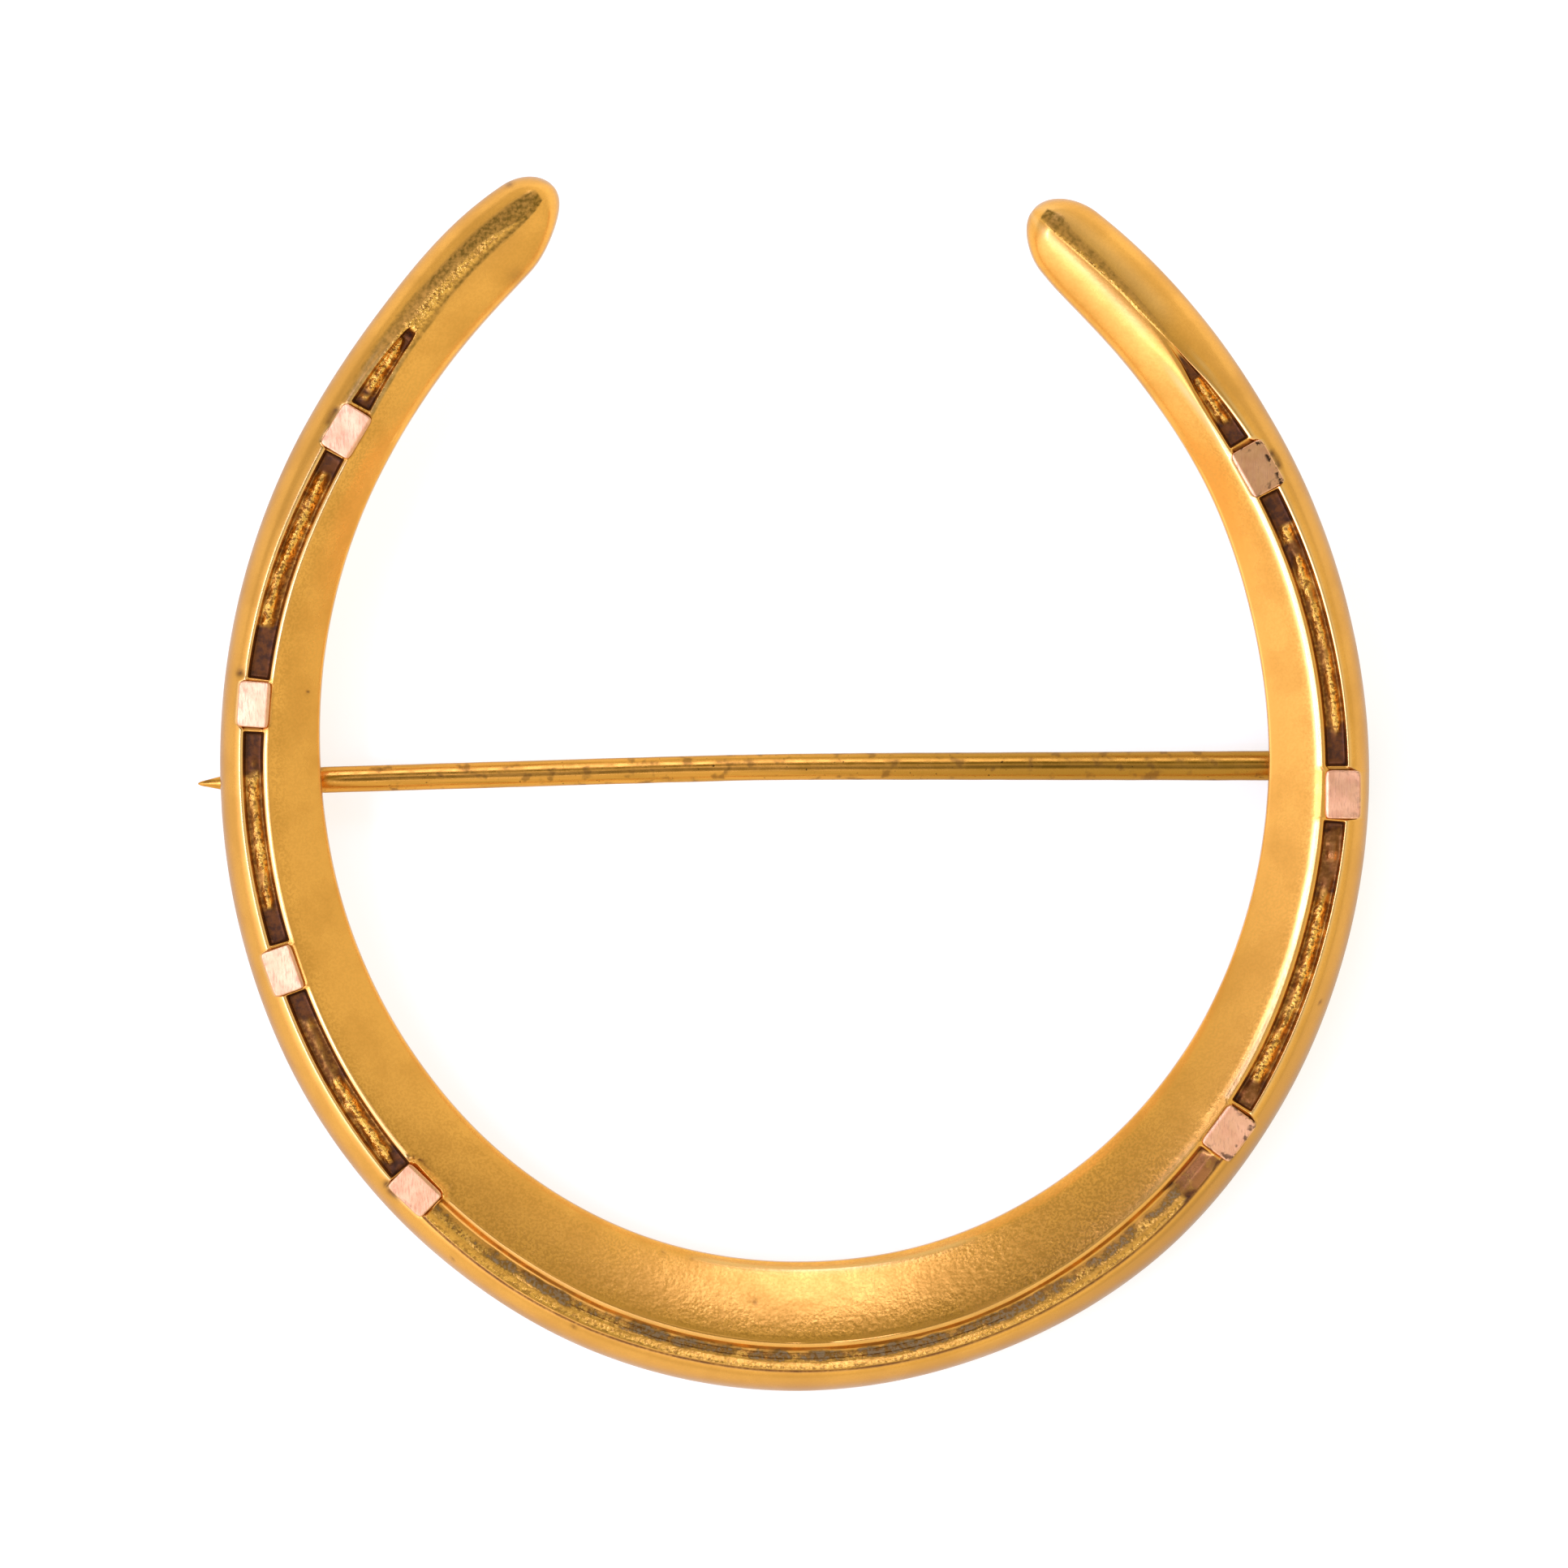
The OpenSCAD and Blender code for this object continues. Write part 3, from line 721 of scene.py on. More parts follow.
@dataclass
class Band:
    """The gold band: one closed skin through sections along the groove's line.

    All sizes are in mm and all angles in degrees. They are the part's own, but for the groove's depth
    and what wear has done to its rims.

    Attributes:
        bow_height, arm_height, tip_height: height of the rim at the bow, the arms and the tips.
        inner_wall, outer_wall: height of the upright walls at both edges.
        tip_round: length of a tip's end that gets close sections.
        tip_rounds: radii of the left tip's inner and outer corner, and of the right tip's.
        tip_drop, tip_end_height: length over which a tip's end falls, and the share of height left.
        groove_depth, bow_depth, bow_rise: depth on the arms, on the bow, and at the outer foot there.
        groove_end, opens: angle of the groove's ends, and over how many degrees each one deepens.
        sill_drop: how far the sills beside the nail heads lie below the rim.
        rim_in, rim_out: offsets where the face and the flank start.
        face_curl: how much of the face's fall is curved.
        roll, roll_flat: width of the face's rolled edge over the strip, and how flat it ends.
        shelf, shelf_slope: width and slope of the polished shelf on the right arm's inner lip.
        kink: where on its quarter ellipse the flank starts.
        strip_slope: slope of the narrow strip along the inner edge.
        round_from, round_to: angles between which the section becomes a rounded finger.
        nail_gap, pocket_depth, wall: room round a nail head, depth of its pocket, width of its walls.
        upper_from: height above which a point belongs to the upper side.
        line_radius, collar_radius: distance of the groove's line from the middle, for the pits and
            for the collar beside the lowest left nail head.
    """

    bow_height: float = 2.3
    arm_height: float = 2.15
    tip_height: float = 1.9
    inner_wall: float = 1.1
    outer_wall: float = 0.6
    tip_round: float = 1.25
    tip_rounds: tuple[float, float, float, float] = (2.1, 1.3, 1.4, 1.5)
    tip_drop: float = 0.9
    tip_end_height: float = 0.35
    groove_depth: float = 0.4
    bow_depth: float = 0.22
    bow_rise: float = 0.135
    groove_end: float = 139.2
    opens: tuple[float, float] = (1.3, 5.5)
    sill_drop: float = 0.035
    rim_in: float = 0.5
    rim_out: float = 0.38
    face_curl: float = 0.3
    roll: float = 0.24
    roll_flat: float = 0.78
    shelf: float = 0.14
    shelf_slope: float = 0.26
    kink: float = 0.18
    strip_slope: float = 1.2
    round_from: float = 124.0
    round_to: float = 146.0
    nail_gap: float = -0.03
    pocket_depth: float = 0.2
    wall: float = 0.018
    upper_from: float = 0.3
    line_radius: float = 17.8
    collar_radius: float = 17.7

    def column(self, angle: Array, which: Column) -> Array:
        """Cubic Hermite curve through a column, with each station's slope from its neighbours.

        Args:
            angle: where along the band.
            which: the column.

        Returns:
            Its values there, in mm.
        """
        a, v = STATIONS[:, Column.ANGLE], STATIONS[:, which]
        n = np.arange(len(a))
        low, high = np.maximum(n - 1, 0), np.minimum(n + 1, len(a) - 1)
        slope = (v[high] - v[low]) / (a[high] - a[low])
        i = np.clip(np.searchsorted(a, angle, side="right") - 1, 0, len(a) - 2)
        h = a[i + 1] - a[i]
        t = (angle - a[i]) / h
        rise, start = 3 * t**2 - 2 * t**3, (t**3 - 2 * t**2 + t) * h * slope[i]
        return mix(v[i], v[i + 1], rise) + start + (t**3 - t**2) * h * slope[i + 1]

    def on_line(self, angle: Array) -> Array:
        """Points of the groove's line: its distance from the middle, along [sin, -cos] of the angle."""
        r, a = self.column(angle, Column.LINE), np.radians(angle)
        return coords(r * np.sin(a), -r * np.cos(a))

    def along(self, angle: Array) -> Array:
        """Direction of the line, from two points of it a tenth of a degree apart."""
        return unit(self.on_line(angle + 0.05) - self.on_line(angle - 0.05))

    def outward(self, angle: Array) -> Array:
        """Direction outward from the line: the line's direction turned a quarter to the right."""
        d = self.along(angle)
        return coords(d[..., 1], -d[..., 0])

    def roundness(self, angle: Array) -> Array:
        """0 on the arms' flat face, 1 on the rounded fingers at the tips."""
        return ease((np.abs(angle) - self.round_from) / (self.round_to - self.round_from))

    def rim_height(self, angle: Array) -> Array:
        """Height of the rim, eased from the bow up the arms and on to the tips."""
        arm = mix(self.bow_height, self.arm_height, ease(np.abs(angle) / 90))
        return mix(arm, self.tip_height, ease((np.abs(angle) - 110) / 45))

    def bow(self, angle: Array) -> Array:
        """1 between the two lowest nail heads, where the groove is shallow and its outer side slopes."""
        return ease((angle + 43.2) / 2) * ease((51.0 - angle) / 2)

    def shelf_width(self, angle: Array) -> Array:
        """Width of the polished shelf on the right arm's inner lip, which starts at the third head."""
        return self.shelf * ease((angle - 30) / 12)

    def crown(self, angle: Array, u: Array) -> Array:
        """Height of the upper surface at the offset u.

        Outward it is a quarter ellipse from the rim to the outer wall. Inward it is a face that falls
        as (1 - c)s + cs² - k(1 - exp(-x / w)) to the strip, which rolls it over at the rim, and then a
        straight strip; on the tips both become an ellipse.

        Args:
            angle, u: angle and offset of each point, shaped alike.

        Returns:
            Heights in mm.
        """
        top, tip = self.rim_height(angle), self.roundness(angle)
        shelf = self.shelf_width(angle)
        rim_in, rim_out = (self.rim_in + shelf) * (1 - tip), self.rim_out * (1 - tip)
        reach, strip = self.column(angle, Column.INNER), self.column(angle, Column.STRIP)
        x = np.maximum(-u - rim_in, 0)
        t = np.clip(x / (reach - rim_in), 0, 1)
        bend = 1 - strip / (reach - rim_in)
        strip_top = self.inner_wall + strip * self.strip_slope
        s = np.minimum(t / bend, 1)
        curl = mix(self.face_curl, 0.04, ease((np.abs(angle) - 35) / 45))
        length = (reach - rim_in) * bend
        roll = mix(self.roll, 0.08, shelf / self.shelf)
        held = (1 - curl) * mix(self.roll_flat, 0.15, self.bow(angle)) * roll / length

        def drop(share: Array) -> Array:
            """How far the face has fallen at a share of its way."""
            rolled = held * (1 - np.exp(-share * length / roll))
            return (1 - curl) * share + curl * share * share - rolled

        face = top - (top - strip_top) * drop(s) / drop(np.ones_like(s))
        flat = np.where(t < bend, face, mix(strip_top, self.inner_wall, (t - bend) / (1 - bend)))
        finger = self.inner_wall + (top - self.inner_wall) * np.sqrt(1 - t * t)
        kink = self.kink * (1 - self.bow(angle)) * (1 - tip)
        out = mix(kink, 1.0, np.clip((u - rim_out) / (self.column(angle, Column.OUTER) - rim_out), 0, 1))
        flank = self.outer_wall + (top - self.outer_wall) * np.sqrt((1 - out * out) / (1 - kink * kink))
        lean = self.shelf_slope * np.clip(-u - self.rim_in + 0.03, 0, shelf + 0.03)
        lean = lean * (1 - tip) * shelf / self.shelf
        eased = np.clip(u - rim_out + 0.06, 0, 0.06) ** 2 / 0.5 * (kink > 0)
        lean = lean + np.where(u > 0, eased, 0.0)
        return np.where(u < -rim_in, mix(flat, finger, tip), flank) - lean

    def from_nail(self, angle: Array) -> tuple[Array, Array]:
        """Finds the nail head nearest to each angle, along the line.

        Args:
            angle: where along the band.

        Returns:
            Its row in HEADS, and how far on from it the angle lies, in mm, negative before it.
        """
        heads = np.array(list(HEADS.values()))
        gap = (angle[:, None] - heads[:, 0]) * np.pi / 180 * self.column(heads[:, 0], Column.LINE)
        nearest = np.abs(gap).argmin(1)
        return heads[nearest], np.take_along_axis(gap, nearest[:, None], 1)[:, 0]

    def cut(self, angle: Array) -> tuple[Array, Array, Array, Array]:
        """The groove and the nail heads' pockets.

        Args:
            angle: where along the band.

        Returns:
            Inner edge, outer edge, depth, and how much of the section is open groove.
        """
        heads, on = self.from_nail(angle)
        _, middle, length, width, turn, _, _, _, before, after = heads.T
        d = np.abs(on)
        pocket = length / 2 + self.nail_gap
        in_pocket = 1 - ease((d - pocket) / self.wall)
        sink = mix(self.groove_depth, self.bow_depth, self.bow(angle))
        sink = mix(self.sill_drop, sink, ease((d - pocket - np.where(on < 0, before, after)) / 0.1))
        sink = sink * ease((self.groove_end - np.abs(angle)) / np.where(angle < 0, *self.opens))
        inner = np.interp(angle, LIPS[:, 0], LIPS[:, 1]) + 0.09
        outer = np.interp(angle, LIPS[:, 0], LIPS[:, 2]) - 0.08
        wide = (width / 2 + self.nail_gap) * (1 - np.minimum(d / pocket, 0.99) ** 9) ** (1 / 9)
        shift = middle + np.tan(np.radians(turn)) * on
        inner, outer = mix(inner, shift - wide, in_pocket), mix(outer, shift + wide, in_pocket)
        return inner, outer, mix(sink, self.pocket_depth, in_pocket), (1 - in_pocket) * (sink > 0)

    def angles(self) -> Array:
        """Places the sections: fine in the rounded tips and at every wall, coarser between.

        Returns:
            Their angles, rising.
        """
        first, last = STATIONS[0, 0], STATIONS[-1, 0]
        turn = np.cos(np.radians(np.linspace(5, 90, 22)))

        def degrees(mm: Array, at: float) -> Array:
            """Distances along the line near an angle, as degrees."""
            return mm / self.column(np.array(at), Column.LINE) * 180 / np.pi

        tips = [first + degrees(self.tip_round * (1 - turn), first),
                last - degrees(self.tip_round * (1 - turn), last)]
        inner = np.arange(tips[0][-1], tips[1][-1], 0.49)
        steps = np.concatenate([np.linspace(-0.15, -0.02, 9), np.linspace(0, self.wall + 0.02, 7)])
        rise = np.linspace(0, 0.08, 5)
        near = [n + side * degrees(length / 2 + self.nail_gap + np.concatenate([steps, sill + rise]), n)
                for n, _, length, *_, before, after in HEADS.values()
                for side, sill in ((-1, before), (1, after))]
        ends = [side * (self.groove_end - np.linspace(-0.3, 6, 24)) for side in (-1, 1)]
        every = np.sort(np.concatenate([*tips, inner, *near, *ends]))
        return every[np.concatenate([[True], np.diff(every) > 0.035])]

    def sections(self, angle: Array) -> Array:
        """Sections of the band as (offset, height) pairs, from the inner edge of the back over the face.

        Args:
            angle: angle of each section.

        Returns:
            Points shaped (sections, points, 2).
        """
        inner, outer = self.column(angle, Column.INNER), self.column(angle, Column.OUTER)
        a, b, depth, opened = self.cut(angle)
        tip, bow = self.roundness(angle), self.bow(angle) * opened
        wide = np.minimum((b - a) / 0.6, 1)
        worn_in = mix(mix(0.19, 0.1, ease((angle - 40) / 15)) * wide, 0.14, bow)
        worn_out = mix(0.17, 0.05, bow) * wide
        chipped = 0.01 + hump((angle - 4) / 6) * (0.02 + 0.02 * lumps(coords(angle * 0.3, 0), 0.5, 9))

        def at(u: Array) -> Array:
            """A point of the upper side: the crown, worn down at the groove's lips, with a bead inside.

            Args:
                u: the point's offset in each section.

            Returns:
                Points shaped (sections, 2).
            """
            inside, outside = u <= a, u >= b
            z = self.crown(angle, u)
            z = z - np.maximum(worn_in - (a - u), 0) ** 2 / (2 * mix(0.5, 0.2, bow)) * inside
            z = z - np.maximum(worn_out - (u - b), 0) ** 2 / (2 * 0.46) * outside
            z = z + bow * inside * chipped * ease((u - a + 0.16) / 0.06)
            return coords(u, z - bow * outside * 0.015 * hump((u - b - 0.06) / 0.04))

        def run(start: Array, end: Array, shares: Array) -> Array:
            """Points of the upper side at shares of the way from one offset to another."""
            return np.stack([at(mix(start, end, s)) for s in shares], 1)

        def between(start: Array, end: Array, shares: Array) -> Array:
            """Points at shares of the way from one point to another."""
            return np.stack([mix(start, end, s) for s in shares], 1)

        back_in, back_out = coords(-inner, 0), coords(outer, 0)
        wall_in, wall_out = coords(-inner, self.inner_wall), coords(outer, self.outer_wall)
        rim_in = np.minimum(a - 0.02, -self.rim_in * (1 - tip))
        strip = self.column(angle, Column.STRIP)
        fold = strip - inner
        bend, soft = at(fold), mix(0.1, 0.16, ease((-angle - 25) / 25))
        rolled = corner(wall_in, bend, at(mix(fold, rim_in, 0.15)), soft, 5)
        domed = np.stack([at(-inner + strip * s) for s in (0.08, 0.25, 0.5, 0.75, 1.0)], 1)
        rim = self.crown(angle, 0.0)
        foot_in = coords(a + mix(0.07, 0.14, bow) * wide, rim - depth)
        foot_out = coords(mix(b - 0.07 * wide, 0.1, bow), rim - mix(depth, self.bow_rise, bow))
        middle = (foot_in + foot_out) / 2
        near_in, near_out = np.minimum(rim_in, a - 0.2), b + 0.16
        return np.concatenate([
            coords(0.4 - inner, 0)[:, None],
            corner(back_in + [0.4, 0], back_in, wall_in, 0.1, 4),
            corner(back_in, wall_in, bend, 0.05, 4),
            mix(rolled, domed, tip[:, None, None]),
            run(near_in, fold, np.linspace(0.94, 0.0, 16)),
            run(near_in, a - 0.06, np.linspace(0.1, 1, 10)),
            corner(at(a - 0.06), at(a), foot_in, mix(0.03, 0.1, bow), 4),
            corner(at(a), foot_in, middle, 0.07 * wide, 4),
            between(foot_in, foot_out, np.linspace(0.21, 0.79, 9)),
            corner(middle, foot_out, at(b), 0.07 * wide, 4),
            between(foot_out, at(b), (0.55, 0.75)),
            corner(foot_out, at(b), at(b + 0.02), 0.03, 4),
            run(b + 0.02, near_out, np.linspace(0, 0.88, 7)),
            run(near_out, outer, np.sin(np.linspace(0.0, 1.45, 15))),
            wall_out[:, None],
            corner(wall_out, back_out, back_out - [0.4, 0], 0.1, 4),
            coords(outer - 0.4, 0)[:, None],
        ], 1)

    def tip_scale(self, angle: Array) -> tuple[Array, Array, Array]:
        """Rounds the tips' ends, each size by a quarter circle, √(1 - (1 - s)²).

        Args:
            angle: angle of each section.

        Returns:
            Shares of the inner width, the outer width and the height that are left.
        """
        ends = np.array([STATIONS[0, 0], STATIONS[-1, 0]])
        far = np.abs(angle[:, None] - ends).min(1) * np.pi / 180 * self.column(angle, Column.LINE)
        left = angle < 0
        inner, outer = np.where(left, *self.tip_rounds[::2]), np.where(left, *self.tip_rounds[1::2])
        wide_in, wide_out, high = (np.sqrt(1 - (1 - np.minimum(far / r, 1)) ** 2)
                                   for r in (inner, outer, self.tip_drop))
        return wide_in, wide_out, mix(self.tip_end_height, 1, high)

    def floor_marks(self, angle: Array, u: Array) -> dict[str, Array]:
        """How much residue, crust, copper and roughness lies at each place of the groove's floor.

        Args:
            angle, u: angle and offset of each point, shaped alike.

        Returns:
            Shares from 0 to 1 by attribute name.
        """
        place = coords(angle * 0.3, u)
        ragged = angle + lumps(place, 0.25, 3) * 0.7
        bulge = 7 * (u - 0.02) ** 2
        shares = {kind.value: np.zeros_like(angle) for kind in Floor}
        for start, end, kind, amount in STRETCHES:
            inside = ease((ragged - start - bulge) / 0.6 + 0.5) * ease((end - bulge - ragged) / 0.6 + 0.5)
            shares[kind.value] = np.maximum(shares[kind.value], inside * amount)
        patches = ease(lumps(place, 0.22, 4) * 0.8 + lumps(place, 0.5, 8) * 0.5 + 0.75)
        shares["copper"] = shares["copper"] * mix(0.55, 1.0, patches)
        crusted = shares["crust"]
        shares["residue"] = np.clip(1 - 1.5 * shares["rough"] - shares["copper"] - crusted, 0, 1)
        clumps = lumps(place * [0.5, 1.0], 0.4, 5) * 0.6 + lumps(place * [0.6, 1.0], 0.16, 6) * 0.4
        thick = np.clip(0.6 + clumps * 0.6 - 3 * (u + 0.05) ** 2, 0, 1)
        shares["crust"] = crusted * thick * ease((0.22 + clumps * 0.08 - np.abs(u + 0.05)) / 0.12)
        gritty = np.maximum(mix(0.2, 0.6, hump(u / 0.16)), 0.5 * hump((u - 0.32) / 0.14))
        shares["rough"] = np.maximum(shares["rough"], crusted * gritty)
        return shares

    def matted(self, angle: Array, u: Array) -> Array:
        """How grainy the gold is: fully on the bow's face, less up the arms, little on flanks and tips.

        Args:
            angle, u: angle and offset of each point, shaped alike.

        Returns:
            Shares from 0 to 1.
        """
        bow = 1 - ease((np.abs(angle) - 38) / 20)
        near = bow * ease((u + 1.6) / 0.6) * ease((42 - angle) / 16)
        beside = (1 - bow) * ease((u + 1.15) / 0.5) * 0.45
        shelf = self.shelf_width(angle)
        browned = 0.3 * ease((angle - 10) / 10) * ease((50 - angle) / 14)
        face = (mix(0.27, 0.7, bow) + 0.35 * near + beside + browned) * ease((-u - 0.5 - shelf) / 0.12)
        strip = 1 - 0.6 * ease((-u - self.column(angle.ravel(), Column.INNER).reshape(u.shape) + 0.35) / 0.1)
        return mix(np.maximum(face, 0.2) * strip, 0.25, self.roundness(angle))

    def toned(self, angle: Array, u: Array) -> Array:
        """How much painted shade darkens the gold: the outer flank most at the lower right, the face at the
        lower left.

        Args:
            angle, u: angle and offset of each point, shaped alike.

        Returns:
            Shares from 0 to 1.
        """
        amount = mix(0.48, 0.95, hump((angle - 42) / 26))
        amount = mix(amount, 0.3, hump((angle + 38) / 22))
        flank = amount * ease((u - 0.5) / 0.15) * (1 - mix(0.5, 1.0, angle > 0) * self.roundness(angle))
        return flank + 0.28 * hump((angle + 30) / 26) * hump((u + 1.3) / 0.9)

    def collar(self, angle: Array, u: Array) -> tuple[Array, Array]:
        """The soldered collar on the inner side of the lowest left nail head, a ridge inside a crevice.

        Args:
            angle, u: angle and offset of each point, shaped alike.

        Returns:
            Its height in mm, and the share of residue in its crevice.
        """
        on = (angle - HEADS["nail_left_4"][0]) * np.pi / 180 * self.collar_radius
        beside = np.hypot(np.maximum(np.abs(on) - 0.5, 0), np.maximum(-u - 0.26, 0)) - 0.25
        inside = ease((-u - 0.3) / 0.15) * (beside > 0.0) * ease((1.15 - np.abs(on)) / 0.4)
        rise = inside * (0.1 * hump((beside - 0.11) / 0.09) - 0.05 * hump((beside - 0.27) / 0.06))
        return rise, inside * hump((beside - 0.24) / 0.035) * ease(0.6 - on)

    def crest(self, angle: Array, u: Array) -> tuple[Array, Array]:
        """The brushed bands along the tips, with strokes that run on along the band, and their olive painted
        shade.

        Args:
            angle, u: angle and offset of each point, shaped alike.

        Returns:
            Shares of bright roughness and of olive, which is painted shade.
        """
        low, split, high, deep = (np.interp(angle, CREST[:, 0], CREST[:, n]) for n in (1, 2, 3, 4))
        first, last = 126.9, 156.0
        there = ease((u - low) / 0.05 + 0.5) * ease((high - u) / 0.05 + 0.5)
        there = there * (np.abs(angle) > first) * (np.abs(angle) < last)
        there = there * np.where(angle > 0, ease((angle - 138) / 3), ease((-first - angle) / 4))
        strokes = 0.6 + 0.4 * lumps(coords(angle * 0.33, u * 0.3), 0.17, 17)
        dark = there * np.maximum(ease((u - split) / 0.08 + 0.5), hump((u - low - 0.06) / 0.1) * (angle < 0))
        bright = np.clip(there - dark, 0, 1) * np.clip(strokes, 0.25, 0.9)
        return bright, np.clip(there * (0.75 - strokes) * 0.6 + dark * deep, 0, 1)

    def skin(self) -> tuple[Array, dict[str, Array]]:
        """Points of all sections and what lies on them.

        Returns:
            Points in mm shaped (sections, points, 3), and attributes shaped (sections, points).
        """
        angle = self.angles()
        flat = self.sections(angle)
        u, z = flat[..., 0], flat[..., 1]
        inner, outer, depth, opened = (v[:, None] for v in self.cut(angle))
        bow = self.bow(angle)[:, None]
        wide = np.broadcast_to(angle[:, None], u.shape)
        top = self.crown(wide.ravel(), u.ravel()).reshape(u.shape)
        upper = z > self.upper_from
        sunk = np.where((u > inner - 0.05) & (u < outer + 0.05) & upper, np.maximum(top - z, 0), 0)

        # The groove's floor: its rough ridge, its crust and its copper patches stand up from it
        in_groove = opened * ease((u - inner) / 0.08) * ease((outer + bow * 0.1 - u) / 0.08)
        on_floor = in_groove * mix(ease((sunk - depth * 0.6) / (depth * 0.3 + 1e-6)), 1.0, bow)
        on_floor = on_floor * ease((depth - self.sill_drop - 0.02) / 0.1)
        lies = self.floor_marks(wide, u)
        place = coords(wide * 0.3, u, 0)
        grit = lumps(place, 0.3, 11) * 0.6 + lumps(place, 0.2, 12) * 0.4
        wave = lumps(place[..., :2] * [1, 0], 2.2, 14) * 0.06
        ridge = mix(hump((u - (inner + outer) / 2 - 0.02 - wave) / 0.19), 1.0, bow)
        heaped = lumps(place, 0.3, 13) * 0.03
        bedded, coppery = on_floor * lies["crust"], on_floor * lies["copper"]
        z = z + on_floor * lies["rough"] * (mix(0.12, 0.0, bow) * ridge + grit * mix(0.07, 0.03, bow))
        z = z + bedded * (0.03 + heaped) + coppery * (1 - bow) * (0.13 + heaped)

        nicks = np.zeros_like(u)
        for at, aside, radius, deep in PITS:
            pit = upper * hump(np.hypot((wide - at) * np.pi / 180 * self.line_radius, u - aside) / radius)
            z = z - deep * pit
            nicks = np.maximum(nicks, pit * min(deep / 0.03, 1.0))
        collar, crevice = self.collar(wide, u)
        z = z + collar

        # The lips, worn smooth and painted paler as a highlight but for a stretch beside each head, a painted
        # highlight line along the edge of the bow's strip, and a painted glow along the right tip
        shelf = self.shelf_width(wide)
        inner_lip = mix(hump((u - inner + 0.065) / 0.06), hump((u + 0.56) / 0.09), shelf / self.shelf)
        outer_lip = np.maximum(hump((u - outer - 0.05) / 0.06), hump((u - self.rim_out) / 0.05))
        on_head = self.from_nail(angle)[1][:, None]
        beside_head = ease((0.98 - np.abs(on_head)) / 0.2) * (wide < 100)
        lips = np.maximum(inner_lip * (1 - 0.6 * bow) * (1 - beside_head), outer_lip * (1 - 0.9 * bow))
        lips = lips * (sunk < 0.12) * ease((139 - np.abs(wide)) / 6)
        # A painted highlight line along the edge of the strip on the bow
        edge_u = self.column(angle, Column.STRIP)[:, None] - self.column(angle, Column.INNER)[:, None]
        shine = hump((u - edge_u) / 0.09) * ease((wide + 14) / 5) * ease((24 - wide) / 6)
        glow = hump((u + 0.38) / 0.16) * 0.5 + hump((u - 0.45) / 0.3) * 0.5

        # Where the residue and the roughness show; the residue on the groove's walls and in the pockets
        # beside the heads is painted shade as well
        walls = in_groove * ease((sunk - 0.1) / 0.12) * mix(1.0, (u < 0.0) * 0.1, bow)
        mottle = lumps(place, 0.5, 15) * 0.3 + lumps(place, 0.17, 16) * 0.45
        ridged = ridge * lies["rough"] + mix(mottle * lies["rough"], 0.0, bow)
        ridged = on_floor * ease((ridged - 0.2) / 0.45)
        pocket_shade = (1 - opened) * (sunk > 0.1)
        valley = bow * opened * hump((u - outer - 0.06) / 0.035)
        broken = 0.45 + 0.35 * lumps(coords(wide, 0), 1.1, 18)
        bright, olive = (share * (sunk < 0.1) for share in self.crest(wide, u))
        attributes = {
            "residue": np.clip(walls * (1 - ridged) + valley + pocket_shade + crevice + bedded, 0, 1),
            "crust": np.clip(bedded, 0, 1),
            "copper": coppery,
            "rough": np.maximum(ridged, bright),
            "olive": olive,
            "seam": np.maximum.reduce([on_floor * lies["residue"], nicks * 0.9, valley * broken]),
            "rubbed": np.maximum.reduce([lips, shine, ease((wide - 139) / 4) * glow]),
            "matted": self.matted(wide, u),
            "toned": self.toned(wide, u),
        }

        wide_in, wide_out, height = (v[:, None] for v in self.tip_scale(angle))
        scale = np.where(u < 0, wide_in, wide_out)
        flat_place = self.on_line(angle)[:, None] + self.outward(angle)[:, None] * (u * scale)[..., None]
        return np.concatenate([flat_place, (z * height)[..., None]], -1), attributes

    def build(self, rest: Rest) -> bpy.types.Object:
        """Builds the band as one closed mesh with its attributes."""
        points, attributes = self.skin()
        return piece("gold_band", rows_to_skin(points), rest, attributes)


